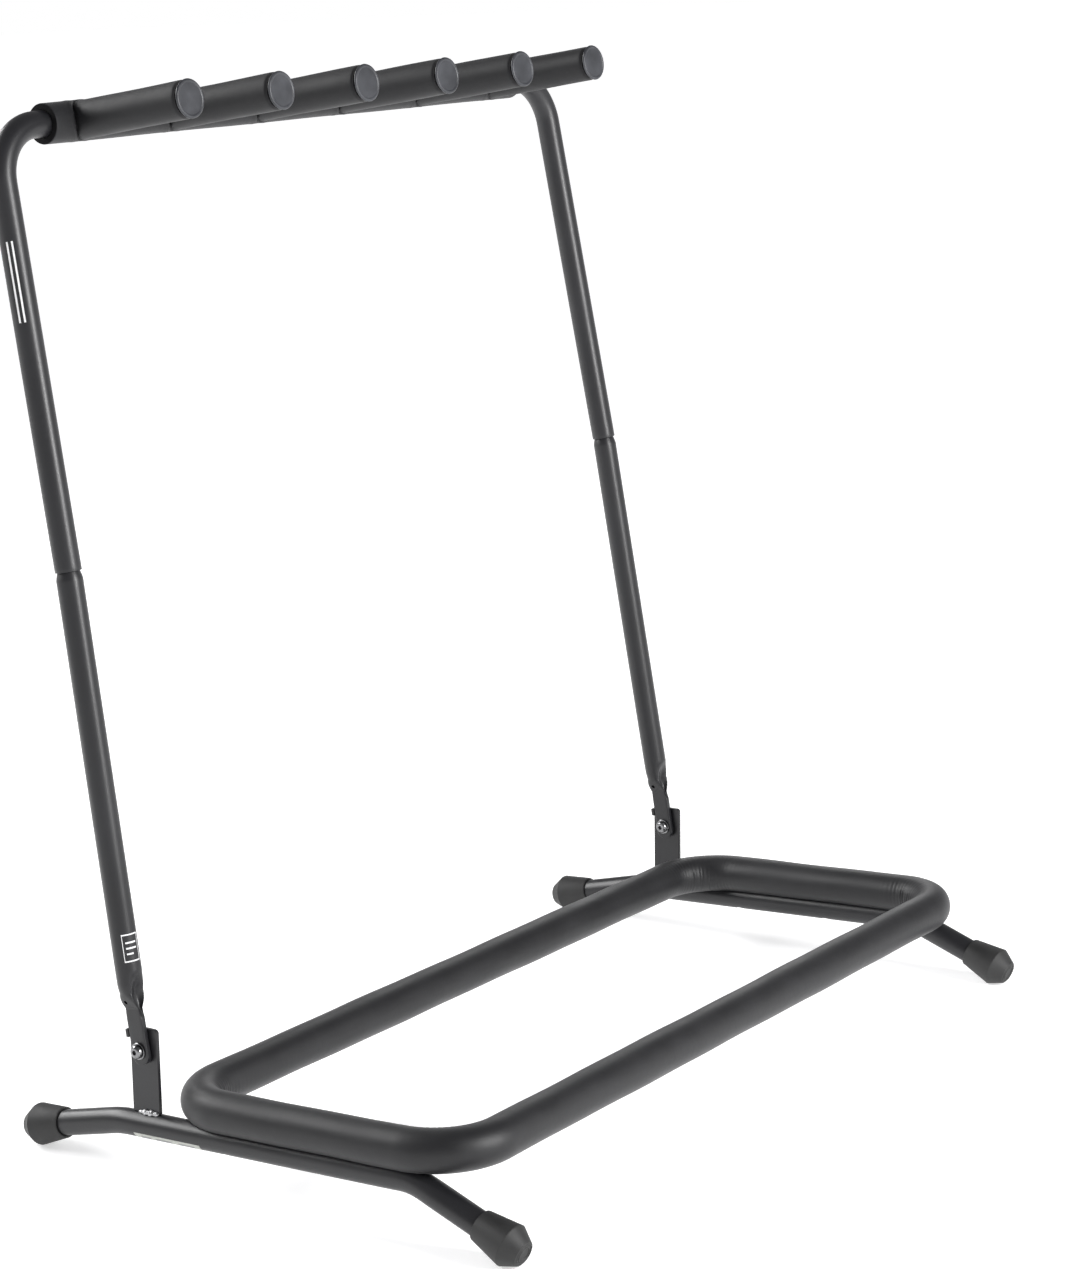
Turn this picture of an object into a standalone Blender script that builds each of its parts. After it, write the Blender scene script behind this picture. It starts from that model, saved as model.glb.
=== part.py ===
"""Folding five-space guitar rack: two bent foot tubes carry a foam-covered cradle loop and two pivot
brackets; two lower legs pivot on the brackets, and a bent yoke with six padded fingers stands on them.

Metres, +Z up. The fingers point to -Y, the front. The origin is under the middle of the rack, and
the rubber feet stand on z = 0.
"""

import math

import bmesh
import bpy
from mathutils import Matrix, Vector

GAP = 0.0003  # clearance kept between touching pieces

# Tube and foam stock
TUBE_RADIUS = 0.0095
TUBE_WALL = 0.0013
FINGER_FOAM_RADIUS = 0.0138
CROSSBAR_FOAM_RADIUS = 0.0145
CRADLE_FOAM_RADIUS = 0.0153
TUBE_SIDES = 16
SMALL_SIDES = 10
GROOVE_SIDES = 24
FOOT_SIDES = 20

# Base: foot tubes in two planes of constant x
BASE_HALF_WIDTH = 0.331
CRADLE_PITCH = math.radians(2.1)  # the foot tubes' middles and the cradle rise towards the front
REAR_DROOP = math.radians(13.0)
FRONT_DROOP = math.radians(20.6)
REAR_BEND = 0.028  # behind the pivot plane, along the tube
FRONT_BEND = 0.240
REAR_BEND_RADIUS = 0.100
FRONT_BEND_RADIUS = 0.055
FRONT_SOLE = 0.0835  # from the front bend's corner to the foot's widest ring
BEND_STEPS = 5

# Rubber feet
FOOT_MOUTH_RADIUS = 0.0113
FOOT_RING_RADIUS = 0.0155
FOOT_END_RADIUS = 0.0092
FOOT_RING_AT = 0.0254
FOOT_LENGTH = 0.0367
FOOT_SOCKET = 0.0203
FOOT_SQUASH = 0.0005  # the ring is pressed flat on the floor by this much

# Cradle loop, clamped down on the foot tubes so that its foam is pressed in
CRADLE_HEIGHT = 0.0205  # its centre line above the foot tubes' centre lines
CRADLE_REAR = 0.0262
CRADLE_FRONT = 0.2795
CRADLE_CORNER_RADIUS = 0.045
CRADLE_CORNER_STEPS = 6
CRADLE_SCREWS_AT = (0.075, 0.160)
ACCESS_HOLE_RADIUS = 0.0055
SCREW_RADIUS = 0.0025
SCREW_HEAD_RADIUS = 0.0045
SCREW_HEAD_HEIGHT = 0.0022
SCREW_SHORT_OF_TOP = 0.004  # its point ends this far below the cradle tube's centre line
SCREW_POINT = 0.0015

# Pivot brackets
PIVOT_Y = 0.1043  # the pivot bolts' axis runs along X here, behind the middle of the rack
PIVOT_HEIGHT = 0.0922
BRACKET_THICKNESS = 0.003
BRACKET_HALF_DEPTH = 0.0128
BRACKET_ABOVE_PIVOT = 0.0158
BRACKET_LEAN = math.radians(-2.0)
TAB_FROM = 0.0095
TAB_TO = 0.0158

# Pivot fasteners
BOLT_RADIUS = 0.003
BOLT_HEAD_RADIUS = 0.0050
BOLT_HEAD_HEIGHT = 0.0034
WASHER_RADIUS = 0.0062
WASHER_THICKNESS = 0.0012
NUT_RADIUS = 0.0056
NUT_THICKNESS = 0.0052
BOLT_END = 0.0022
BOLT_CHAMFER = 0.0006
CUTTER_PAST = 0.002  # cutters run past the faces that they open by this much

# Lower legs
LOWER_LEAN = math.radians(7.3)
SPLAY = math.radians(1.25)  # inwards, so that the finger bar is narrower than the base
SPLAY_FROM = 0.0235  # above the pivot
LOWER_LENGTH = 0.3427
LEG_FLAT_WIDTH = 0.0148
LEG_FLAT_THICKNESS = 0.0046
LEG_BELOW_PIVOT = 0.0102
LEG_END_ROUNDING = 0.004
LEG_SQUARENESS = 5.0  # of the flat end's section; 2 is round
LEG_FLAT_TO = 0.031
LEG_ROUND_FROM = 0.050
SHOULDER_LENGTH = 0.006
SHOULDER_RADIUS = 0.0085  # at its top, where the yoke rests
SPIGOT_RADIUS = 0.0075
SPIGOT_LENGTH = 0.032
SPIGOT_LEAD = 0.0012  # chamfer at its top
SPIGOT_TOP_RADIUS = 0.0066
SPIGOT_FROM = 0.0002
LEG_BORE_FROM = 0.010  # above the place where the leg is round again

# Yoke
UPPER_LEAN = math.radians(8.6)
UPPER_LENGTH = 0.3082
YOKE_BEND_RADIUS = 0.039
YOKE_BEND_STEPS = 7
FINGER_COUNT = 6
FINGER_PITCH = 0.0957
FINGER_RISE = math.radians(7.2)
FINGER_REACH = 0.1096  # from the crossbar's axis to the face of the cap
CAP_THICKNESS = 0.0026
CAP_EDGE = 0.0010
CAP_STEM = 0.012
CROSSBAR_FOAM_BEYOND = 0.032  # past the outer fingers' axes

X = Vector((1, 0, 0))
CRADLE_FORWARD = Vector((0, -math.cos(CRADLE_PITCH), math.sin(CRADLE_PITCH)))
CRADLE_UP = Vector((0, math.sin(CRADLE_PITCH), math.cos(CRADLE_PITCH)))
REAR_ALONG = Vector((0, math.cos(REAR_DROOP), -math.sin(REAR_DROOP)))
FRONT_ALONG = Vector((0, -math.cos(FRONT_DROOP), -math.sin(FRONT_DROOP)))
FINGER_ALONG = Vector((0, -math.cos(FINGER_RISE), math.sin(FINGER_RISE)))
YOKE_UP = Vector((0, math.sin(UPPER_LEAN), math.cos(UPPER_LEAN)))

# Heights that follow from feet standing on z = 0
FRONT_RING_DROP = FOOT_RING_RADIUS * math.cos(FRONT_DROOP) - FOOT_SQUASH
REAR_RING_DROP = FOOT_RING_RADIUS * math.cos(REAR_DROOP) - FOOT_SQUASH
FRONT_BEND_HEIGHT = FRONT_RING_DROP + FRONT_SOLE * math.sin(FRONT_DROOP)
TUBE_HEIGHT = FRONT_BEND_HEIGHT - FRONT_BEND * math.sin(CRADLE_PITCH)  # at the pivot plane
REAR_BEND_HEIGHT = TUBE_HEIGHT - REAR_BEND * math.sin(CRADLE_PITCH)
REAR_SOLE = (REAR_BEND_HEIGHT - REAR_RING_DROP) / math.sin(REAR_DROOP)

LEG_OFFSET = BRACKET_THICKNESS / 2 + GAP + LEG_FLAT_THICKNESS / 2  # leg axis, on the -X side of its bracket
LEG_PIVOT_X = {"left": -BASE_HALF_WIDTH - LEG_OFFSET, "right": BASE_HALF_WIDTH - LEG_OFFSET}
INWARD = {"left": 1, "right": -1}
BRACKET_X = {"left": -BASE_HALF_WIDTH, "right": BASE_HALF_WIDTH}


def clear_scene():
    for obj in list(bpy.data.objects):
        bpy.data.objects.remove(obj)


def make_collection(name):
    made = bpy.data.collections.new(name)
    bpy.context.scene.collection.children.link(made)
    return made


def make_material(name, colour, roughness, metallic):
    made = bpy.data.materials.new(name)
    made.use_nodes = True
    shader = made.node_tree.nodes["Principled BSDF"]
    shader.inputs["Base Color"].default_value = (*colour, 1)
    shader.inputs["Roughness"].default_value = roughness
    shader.inputs["Metallic"].default_value = metallic
    made.diffuse_color = (*colour, 1)
    return made


def add_object(name, mesh, material, collection):
    obj = bpy.data.objects.new(name, mesh)
    collection.objects.link(obj)
    if material:
        mesh.materials.append(material)
    mesh.shade_smooth()
    mesh.set_sharp_from_angle(angle=math.radians(35))
    return obj


def mesh_from_bmesh(name, shape):
    bmesh.ops.recalc_face_normals(shape, faces=shape.faces)
    mesh = bpy.data.meshes.new(name)
    shape.to_mesh(mesh)
    shape.free()
    return mesh


def rounded_path(corners, radii, steps, closed=False):
    """The corners' polyline with each inner corner turned into an arc of its own radius."""
    count = len(corners)
    points = []
    for i, corner in enumerate(corners):
        if not closed and i in (0, count - 1):
            points.append(corner.copy())
            continue
        back = (corners[i - 1] - corner).normalized()
        ahead = (corners[(i + 1) % count] - corner).normalized()
        radius = radii[i]
        half = back.angle(ahead) / 2
        centre = corner + (back + ahead).normalized() * radius / math.sin(half)
        start = corner + back * radius / math.tan(half)
        axis = back.cross(ahead).normalized()
        turn = math.pi - 2 * half
        for step in range(steps + 1):
            spin = Matrix.Rotation(-turn * step / steps, 3, axis)
            points.append(centre + spin @ (start - centre))
    return points


def curve_mesh(name, points, radius, sides, closed=False, caps=True):
    """A tube along the points as a mesh; its caps, if any, are welded on."""
    curve = bpy.data.curves.new(name, "CURVE")
    curve.dimensions = "3D"
    curve.bevel_depth = radius
    curve.bevel_resolution = (sides - 4) // 2
    curve.use_fill_caps = caps and not closed
    spline = curve.splines.new("POLY")
    spline.points.add(len(points) - 1)
    for slot, point in zip(spline.points, points):
        slot.co = (*point, 1)
    spline.use_cyclic_u = closed
    guide = bpy.data.objects.new(name + "_guide", curve)
    bpy.context.scene.collection.objects.link(guide)
    graph = bpy.context.evaluated_depsgraph_get()
    mesh = bpy.data.meshes.new_from_object(guide.evaluated_get(graph))
    bpy.data.objects.remove(guide)
    shape = bmesh.new()
    shape.from_mesh(mesh)
    bmesh.ops.remove_doubles(shape, verts=shape.verts, dist=1e-6)
    bmesh.ops.recalc_face_normals(shape, faces=shape.faces)
    shape.to_mesh(mesh)
    shape.free()
    return mesh


def add_solidify(obj, wall):
    """The open or closed surface becomes a wall that goes inwards."""
    solidify = obj.modifiers.new("wall", "SOLIDIFY")
    solidify.thickness = wall
    solidify.offset = -1
    solidify.use_even_offset = True


def foam_wall(outer):
    """The wall that leaves a bore whose vertices are GAP clear of the steel tube."""
    return (outer - TUBE_RADIUS - GAP) * math.cos(math.pi / TUBE_SIDES)


def add_cut(obj, cutter):
    cut = obj.modifiers.new("cut_" + cutter.name, "BOOLEAN")
    cut.operation = "DIFFERENCE"
    cut.solver = "EXACT"
    cut.object = cutter


def add_union(obj, other):
    join = obj.modifiers.new("join_" + other.name, "BOOLEAN")
    join.operation = "UNION"
    join.solver = "EXACT"
    join.object = other


def hide_helper(obj):
    obj.hide_render = True
    obj.display_type = "WIRE"
    return obj


def add_rod(name, start, end, radius, sides, material, collection):
    """A straight closed cylinder from start to end."""
    along = end - start
    shape = bmesh.new()
    turn = along.to_track_quat("Z", "Y").to_matrix().to_4x4()
    place = Matrix.Translation((start + end) / 2) @ turn
    bmesh.ops.create_cone(
        shape,
        cap_ends=True,
        segments=sides,
        radius1=radius,
        radius2=radius,
        depth=along.length,
        matrix=place,
    )
    return add_object(name, mesh_from_bmesh(name, shape), material, collection)


def add_box(name, centre, size, turn, material, collection):
    shape = bmesh.new()
    place = Matrix.Translation(centre) @ turn.to_4x4() @ Matrix.Diagonal((*size, 1))
    bmesh.ops.create_cube(shape, size=1, matrix=place)
    return add_object(name, mesh_from_bmesh(name, shape), material, collection)


def add_turned(name, profile, start, along, sides, material, collection):
    """A closed (radius, height) profile turned about the line from start along its direction."""
    mesh = bpy.data.meshes.new(name)
    shape = bmesh.new()
    verts = [shape.verts.new((radius, 0, height)) for radius, height in profile]
    for a, b in zip(verts, verts[1:]):
        shape.edges.new((a, b))
    shape.to_mesh(mesh)
    shape.free()
    obj = bpy.data.objects.new(name, mesh)
    collection.objects.link(obj)
    mesh.materials.append(material)
    screw = obj.modifiers.new("turn", "SCREW")
    screw.axis = "Z"
    screw.angle = math.tau
    screw.steps = sides
    screw.render_steps = sides
    screw.use_merge_vertices = True
    screw.merge_threshold = 0.00001
    screw.use_smooth_shade = True
    obj.matrix_world = Matrix.Translation(start) @ along.to_track_quat("Z", "Y").to_matrix().to_4x4()
    return obj


def tube_point(side, along, up=0.0):
    """A point of the base at this distance in front of the pivot plane, along a foot tube's middle."""
    origin = Vector((BRACKET_X[side], PIVOT_Y, TUBE_HEIGHT))
    return origin + CRADLE_FORWARD * along + CRADLE_UP * up


def make_foot_tube(side, steel, parts, cutters):
    rear = tube_point(side, -REAR_BEND)
    front = tube_point(side, FRONT_BEND)
    inside = FOOT_SOCKET - GAP - FOOT_RING_AT
    corners = [
        rear + REAR_ALONG * (REAR_SOLE + inside),
        rear,
        front,
        front + FRONT_ALONG * (FRONT_SOLE + inside),
    ]
    path = rounded_path(corners, (0, REAR_BEND_RADIUS, FRONT_BEND_RADIUS, 0), BEND_STEPS)
    name = side + "_foot_tube"
    tube = add_object(name, curve_mesh(name, path, TUBE_RADIUS, TUBE_SIDES, caps=False), steel, parts)
    add_solidify(tube, TUBE_WALL)
    for number, along in enumerate(CRADLE_SCREWS_AT, 1):
        low = tube_point(side, along, -2 * TUBE_RADIUS)
        middle = tube_point(side, along)
        high = tube_point(side, along, 2 * TUBE_RADIUS)
        access = add_rod(
            f"{side}_access_{number}_cutter", low, middle, ACCESS_HOLE_RADIUS, SMALL_SIDES, None, cutters
        )
        pilot = add_rod(
            f"{side}_pilot_{number}_cutter", middle, high, SCREW_RADIUS + GAP, SMALL_SIDES, None, cutters
        )
        add_cut(tube, hide_helper(access))
        add_cut(tube, hide_helper(pilot))


def make_floor_cutter(cutters):
    """A block below z = 0 that presses the rubber feet flat."""
    depth = 2 * FOOT_RING_RADIUS
    size = (3 * BASE_HALF_WIDTH, 3 * BASE_HALF_WIDTH, depth)
    block = add_box("floor_cutter", Vector((0, 0, -depth / 2)), size, Matrix.Identity(3), None, cutters)
    return hide_helper(block)


def make_rubber_foot(side, end, rubber, floor, parts):
    corner = tube_point(side, -REAR_BEND if end == "rear" else FRONT_BEND)
    along = REAR_ALONG if end == "rear" else FRONT_ALONG
    sole = REAR_SOLE if end == "rear" else FRONT_SOLE
    socket = TUBE_RADIUS + GAP
    profile = [
        (0, FOOT_LENGTH),
        (FOOT_END_RADIUS, FOOT_LENGTH),
        (FOOT_RING_RADIUS, FOOT_RING_AT),
        (FOOT_MOUTH_RADIUS, 0),
        (socket, 0),
        (socket, FOOT_SOCKET),
        (0, FOOT_SOCKET),
    ]
    start = corner + along * (sole - FOOT_RING_AT)
    foot = add_turned(f"{side}_{end}_foot", profile, start, along, FOOT_SIDES, rubber, parts)
    add_cut(foot, floor)


def cradle_path(steps):
    up = CRADLE_HEIGHT
    corners = [
        tube_point("left", CRADLE_REAR, up),
        tube_point("left", CRADLE_FRONT, up),
        tube_point("right", CRADLE_FRONT, up),
        tube_point("right", CRADLE_REAR, up),
    ]
    return rounded_path(corners, (CRADLE_CORNER_RADIUS,) * 4, steps, closed=True)


def make_cradle(steel, foam, parts, cutters):
    path = cradle_path(CRADLE_CORNER_STEPS)
    tube_surface = curve_mesh("cradle_tube", path, TUBE_RADIUS, SMALL_SIDES, closed=True)
    tube = add_object("cradle_tube", tube_surface, steel, parts)
    add_solidify(tube, TUBE_WALL)
    foam_surface = curve_mesh("cradle_foam", path, CRADLE_FOAM_RADIUS, TUBE_SIDES, closed=True)
    sleeve = add_object("cradle_foam", foam_surface, foam, parts)
    add_solidify(sleeve, foam_wall(CRADLE_FOAM_RADIUS))
    for side in ("left", "right"):
        start = tube_point(side, CRADLE_REAR - 2 * CRADLE_FOAM_RADIUS)
        end = tube_point(side, CRADLE_FRONT + 2 * CRADLE_FOAM_RADIUS)
        groove = add_rod(side + "_groove_cutter", start, end, TUBE_RADIUS + GAP, GROOVE_SIDES, None, cutters)
        add_cut(sleeve, hide_helper(groove))
        for number, along in enumerate(CRADLE_SCREWS_AT, 1):
            low = tube_point(side, along)
            high = tube_point(side, along, CRADLE_HEIGHT)
            hole = add_rod(
                f"{side}_cradle_hole_{number}_cutter", low, high, SCREW_RADIUS + GAP, SMALL_SIDES, None, cutters
            )
            add_cut(tube, hide_helper(hole))
            add_cut(sleeve, hole)


def make_cradle_screw(side, number, along, zinc, parts):
    """Its head bears on the inside of the foot tube's top wall, and its point is inside the cradle tube."""
    bore = TUBE_RADIUS - TUBE_WALL
    under_head = math.sqrt(bore**2 - SCREW_HEAD_RADIUS**2) - 2 * GAP
    head = under_head - SCREW_HEAD_HEIGHT
    point = CRADLE_HEIGHT - SCREW_SHORT_OF_TOP
    profile = [
        (0, point),
        (SCREW_RADIUS * 0.6, point),
        (SCREW_RADIUS, point - SCREW_POINT),
        (SCREW_RADIUS, under_head),
        (SCREW_HEAD_RADIUS, under_head),
        (SCREW_HEAD_RADIUS * 0.8, head),
        (0, head),
    ]
    start = tube_point(side, along)
    add_turned(f"{side}_cradle_screw_{number}", profile, start, CRADLE_UP, SMALL_SIDES, zinc, parts)


def pivot(side, offset=0.0):
    """A point of the pivot axis, measured from the bracket's middle plane."""
    return Vector((BRACKET_X[side] + offset, PIVOT_Y, PIVOT_HEIGHT))


def lower_along():
    return Vector((0, math.sin(LOWER_LEAN), math.cos(LOWER_LEAN)))


def make_bracket(side, steel, parts, cutters):
    """An upright plate on the foot tube, with a stop tab behind the leg."""
    foot = TUBE_HEIGHT + TUBE_RADIUS / math.cos(CRADLE_PITCH) + GAP
    lift = PIVOT_HEIGHT - foot
    outline = bmesh.new()
    corners = []
    for depth, height in (
        (BRACKET_HALF_DEPTH, -lift),
        (BRACKET_HALF_DEPTH, BRACKET_ABOVE_PIVOT),
        (-BRACKET_HALF_DEPTH, BRACKET_ABOVE_PIVOT),
        (-BRACKET_HALF_DEPTH, -lift),
    ):
        y = depth + height * math.tan(BRACKET_LEAN)
        z = PIVOT_HEIGHT + height
        if height < 0:
            z -= y * math.tan(CRADLE_PITCH)
        corners.append(outline.verts.new((BRACKET_X[side] - BRACKET_THICKNESS / 2, PIVOT_Y + y, z)))
    face = outline.faces.new(corners)
    moved = bmesh.ops.extrude_face_region(outline, geom=[face])["geom"]
    bmesh.ops.translate(
        outline, vec=X * BRACKET_THICKNESS, verts=[v for v in moved if isinstance(v, bmesh.types.BMVert)]
    )
    name = side + "_bracket"
    plate = add_object(name, mesh_from_bmesh(name, outline), steel, parts)
    along = lower_along()
    behind = Vector((0, math.cos(LOWER_LEAN), -math.sin(LOWER_LEAN)))
    reach = LEG_FLAT_THICKNESS + GAP
    centre = (
        pivot(side, -(BRACKET_THICKNESS + reach) / 2 + BRACKET_THICKNESS / 4)
        + along * (TAB_FROM + TAB_TO) / 2
        + behind * (LEG_FLAT_WIDTH / 2 + GAP + BRACKET_THICKNESS / 2)
    )
    size = (reach + BRACKET_THICKNESS / 2, BRACKET_THICKNESS, TAB_TO - TAB_FROM)
    turn = Matrix.Rotation(-LOWER_LEAN, 3, "X")
    tab = hide_helper(add_box(side + "_tab_helper", centre, size, turn, None, cutters))
    add_union(plate, tab)
    hole = add_rod(
        side + "_bracket_hole_cutter",
        pivot(side, -0.01),
        pivot(side, 0.01),
        BOLT_RADIUS + GAP,
        SMALL_SIDES,
        None,
        cutters,
    )
    add_cut(plate, hide_helper(hole))


def section_point(angle, half_width, half_thickness, squareness):
    """A point of a superellipse: squareness 2 is round, a higher one is nearer a flat bar."""
    c, s = math.cos(angle), math.sin(angle)
    power = 2 / squareness
    return (
        math.copysign(abs(s) ** power * half_thickness, s),
        math.copysign(abs(c) ** power * half_width, c),
    )


def leg_sections():
    """(distance above the pivot, half width, half thickness, squareness) up the leg to its spigot."""
    flat_w, flat_t = LEG_FLAT_WIDTH / 2, LEG_FLAT_THICKNESS / 2
    rows = [
        (-LEG_BELOW_PIVOT, flat_w * 0.55, flat_t, LEG_SQUARENESS),
        (-LEG_BELOW_PIVOT + LEG_END_ROUNDING * 0.35, flat_w * 0.88, flat_t, LEG_SQUARENESS),
        (-LEG_BELOW_PIVOT + LEG_END_ROUNDING, flat_w, flat_t, LEG_SQUARENESS),
        (LEG_FLAT_TO, flat_w, flat_t, LEG_SQUARENESS),
    ]
    steps = 5
    for step in range(1, steps + 1):
        share = step / steps
        blend = share * share * (3 - 2 * share)
        rows.append(
            (
                LEG_FLAT_TO + (LEG_ROUND_FROM - LEG_FLAT_TO) * share,
                flat_w + (TUBE_RADIUS - flat_w) * blend,
                flat_t + (TUBE_RADIUS - flat_t) * blend,
                LEG_SQUARENESS + (2.0 - LEG_SQUARENESS) * blend,
            )
        )
    rows.append((LOWER_LENGTH - SHOULDER_LENGTH, TUBE_RADIUS, TUBE_RADIUS, 2.0))
    for share in (0.35, 0.7, 0.9, 1.0):
        radius = SHOULDER_RADIUS + (TUBE_RADIUS - SHOULDER_RADIUS) * math.sqrt(1 - share**2)
        rows.append((LOWER_LENGTH - SHOULDER_LENGTH * (1 - share), radius, radius, 2.0))
    return rows


def loft(name, rings, material, collection):
    """A closed body through rings of equally many points, capped at both ends."""
    shape = bmesh.new()
    made = [[shape.verts.new(point) for point in ring] for ring in rings]
    for low, high in zip(made, made[1:]):
        for i in range(len(low)):
            j = (i + 1) % len(low)
            shape.faces.new((low[i], low[j], high[j], high[i]))
    shape.faces.new(made[0][::-1])
    shape.faces.new(made[-1])
    return add_object(name, mesh_from_bmesh(name, shape), material, collection)


def leg_centre(side, distance):
    """The lower leg's centre line; it leans inwards above its flat end."""
    above = max(distance - SPLAY_FROM, 0)
    inward = X * INWARD[side] * math.tan(SPLAY) * above
    return Vector((LEG_PIVOT_X[side], PIVOT_Y, PIVOT_HEIGHT)) + lower_along() * distance + inward


def make_lower_leg(side, steel, parts, cutters):
    across = Vector((0, math.cos(LOWER_LEAN), -math.sin(LOWER_LEAN)))
    rings = []
    for distance, half_width, half_thickness, squareness in leg_sections():
        centre = leg_centre(side, distance)
        ring = []
        for i in range(TUBE_SIDES):
            x, y = section_point(math.tau * i / TUBE_SIDES, half_width, half_thickness, squareness)
            ring.append(centre + X * x + across * y)
        rings.append(ring)
    top = leg_centre(side, LOWER_LENGTH)
    drift = X * INWARD[side] * math.tan(SPLAY) * SPIGOT_LENGTH / 2
    behind = Vector((0, math.cos(UPPER_LEAN), -math.sin(UPPER_LEAN)))
    spigot = (
        (SPIGOT_FROM, SPIGOT_RADIUS),
        (SPIGOT_LENGTH - SPIGOT_LEAD, SPIGOT_RADIUS),
        (SPIGOT_LENGTH, SPIGOT_TOP_RADIUS),
    )
    for height, radius in spigot:
        centre = top + drift + YOKE_UP * height
        ring = []
        for i in range(TUBE_SIDES):
            x, y = section_point(math.tau * i / TUBE_SIDES, radius, radius, 2.0)
            ring.append(centre + X * x + behind * y)
        rings.append(ring)
    leg = loft(side + "_lower_leg", rings, steel, parts)
    bore_path = [
        leg_centre(side, LEG_ROUND_FROM + LEG_BORE_FROM),
        leg_centre(side, LOWER_LENGTH),
        top + drift + YOKE_UP * (SPIGOT_LENGTH + CUTTER_PAST),
    ]
    bore_mesh = curve_mesh(side + "_leg_bore_cutter", bore_path, SPIGOT_RADIUS - TUBE_WALL, SMALL_SIDES)
    bore = add_object(side + "_leg_bore_cutter", bore_mesh, None, cutters)
    add_cut(leg, hide_helper(bore))
    middle = LEG_PIVOT_X[side] - BRACKET_X[side]
    hole = add_rod(
        side + "_leg_hole_cutter",
        pivot(side, middle - LEG_FLAT_THICKNESS),
        pivot(side, middle + LEG_FLAT_THICKNESS),
        BOLT_RADIUS + GAP,
        SMALL_SIDES,
        None,
        cutters,
    )
    add_cut(leg, hide_helper(hole))


def make_pivot_fasteners(side, zinc, parts, cutters):
    """Bolt through leg and bracket from -X, with a washer under its head and one under the nut."""
    head_washer = BRACKET_THICKNESS / 2 + GAP + LEG_FLAT_THICKNESS + GAP
    head = head_washer + WASHER_THICKNESS + GAP
    nut_washer = BRACKET_THICKNESS / 2 + GAP
    nut = nut_washer + WASHER_THICKNESS + GAP
    end = nut + NUT_THICKNESS + BOLT_END
    bolt_profile = [
        (0, head + BOLT_HEAD_HEIGHT),
        (BOLT_HEAD_RADIUS * 0.62, head + BOLT_HEAD_HEIGHT),
        (BOLT_HEAD_RADIUS * 0.9, head + BOLT_HEAD_HEIGHT * 0.62),
        (BOLT_HEAD_RADIUS, head),
        (BOLT_RADIUS, head),
        (BOLT_RADIUS, -end + BOLT_CHAMFER),
        (BOLT_RADIUS * 0.8, -end),
        (0, -end),
    ]
    add_turned(side + "_pivot_bolt", bolt_profile, pivot(side), -X, SMALL_SIDES, zinc, parts)
    bore = BOLT_RADIUS + GAP
    rings = (
        ("_bolt_washer", -X, head_washer, WASHER_THICKNESS, WASHER_RADIUS, SMALL_SIDES),
        ("_nut_washer", X, nut_washer, WASHER_THICKNESS, WASHER_RADIUS, SMALL_SIDES),
        ("_pivot_nut", X, nut, NUT_THICKNESS, NUT_RADIUS, 6),
    )
    for suffix, along, near, thickness, radius, sides in rings:
        start = pivot(side) + along * near
        ring = add_rod(side + suffix, start, start + along * thickness, radius, sides, zinc, parts)
        name = f"{side}{suffix}_cutter"
        hole = add_rod(
            name,
            start - along * CUTTER_PAST,
            start + along * (thickness + CUTTER_PAST),
            bore,
            SMALL_SIDES,
            None,
            cutters,
        )
        add_cut(ring, hide_helper(hole))


def yoke_foot(side):
    return leg_centre(side, LOWER_LENGTH) + YOKE_UP * GAP


def yoke_corner(side):
    rise = UPPER_LENGTH
    inward = X * INWARD[side] * math.tan(SPLAY) * rise
    return leg_centre(side, LOWER_LENGTH) + YOKE_UP * rise + inward


def crossbar_centre():
    return (yoke_corner("left") + yoke_corner("right")) / 2


def make_yoke_tube(steel, parts):
    corners = [yoke_foot("left"), yoke_corner("left"), yoke_corner("right"), yoke_foot("right")]
    path = rounded_path(corners, (YOKE_BEND_RADIUS,) * 4, YOKE_BEND_STEPS)
    mesh = curve_mesh("yoke_tube", path, TUBE_RADIUS, TUBE_SIDES, caps=False)
    tube = add_object("yoke_tube", mesh, steel, parts)
    add_solidify(tube, TUBE_WALL)


def finger_root(number):
    centre = crossbar_centre()
    return Vector(((number - 1 - (FINGER_COUNT - 1) / 2) * FINGER_PITCH, centre.y, centre.z))


def make_crossbar_foam(foam, parts, cutters):
    half = (FINGER_COUNT - 1) / 2 * FINGER_PITCH + CROSSBAR_FOAM_BEYOND
    centre = crossbar_centre()
    path = [centre - X * half, centre + X * half]
    mesh = curve_mesh("crossbar_foam", path, CROSSBAR_FOAM_RADIUS, TUBE_SIDES, caps=False)
    sleeve = add_object("crossbar_foam", mesh, foam, parts)
    add_solidify(sleeve, foam_wall(CROSSBAR_FOAM_RADIUS))
    for number in range(1, FINGER_COUNT + 1):
        root = finger_root(number)
        hole = add_rod(
            f"finger_{number}_passage_cutter",
            root,
            root + FINGER_ALONG * 0.03,
            TUBE_RADIUS + GAP,
            SMALL_SIDES,
            None,
            cutters,
        )
        add_cut(sleeve, hide_helper(hole))


def make_cope_cutter(name, radius, cutters):
    """A rod along the crossbar that saddles the ends of the finger pieces."""
    centre = crossbar_centre()
    half = (FINGER_COUNT / 2) * FINGER_PITCH
    return hide_helper(add_rod(name, centre - X * half, centre + X * half, radius, GROOVE_SIDES, None, cutters))


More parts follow.
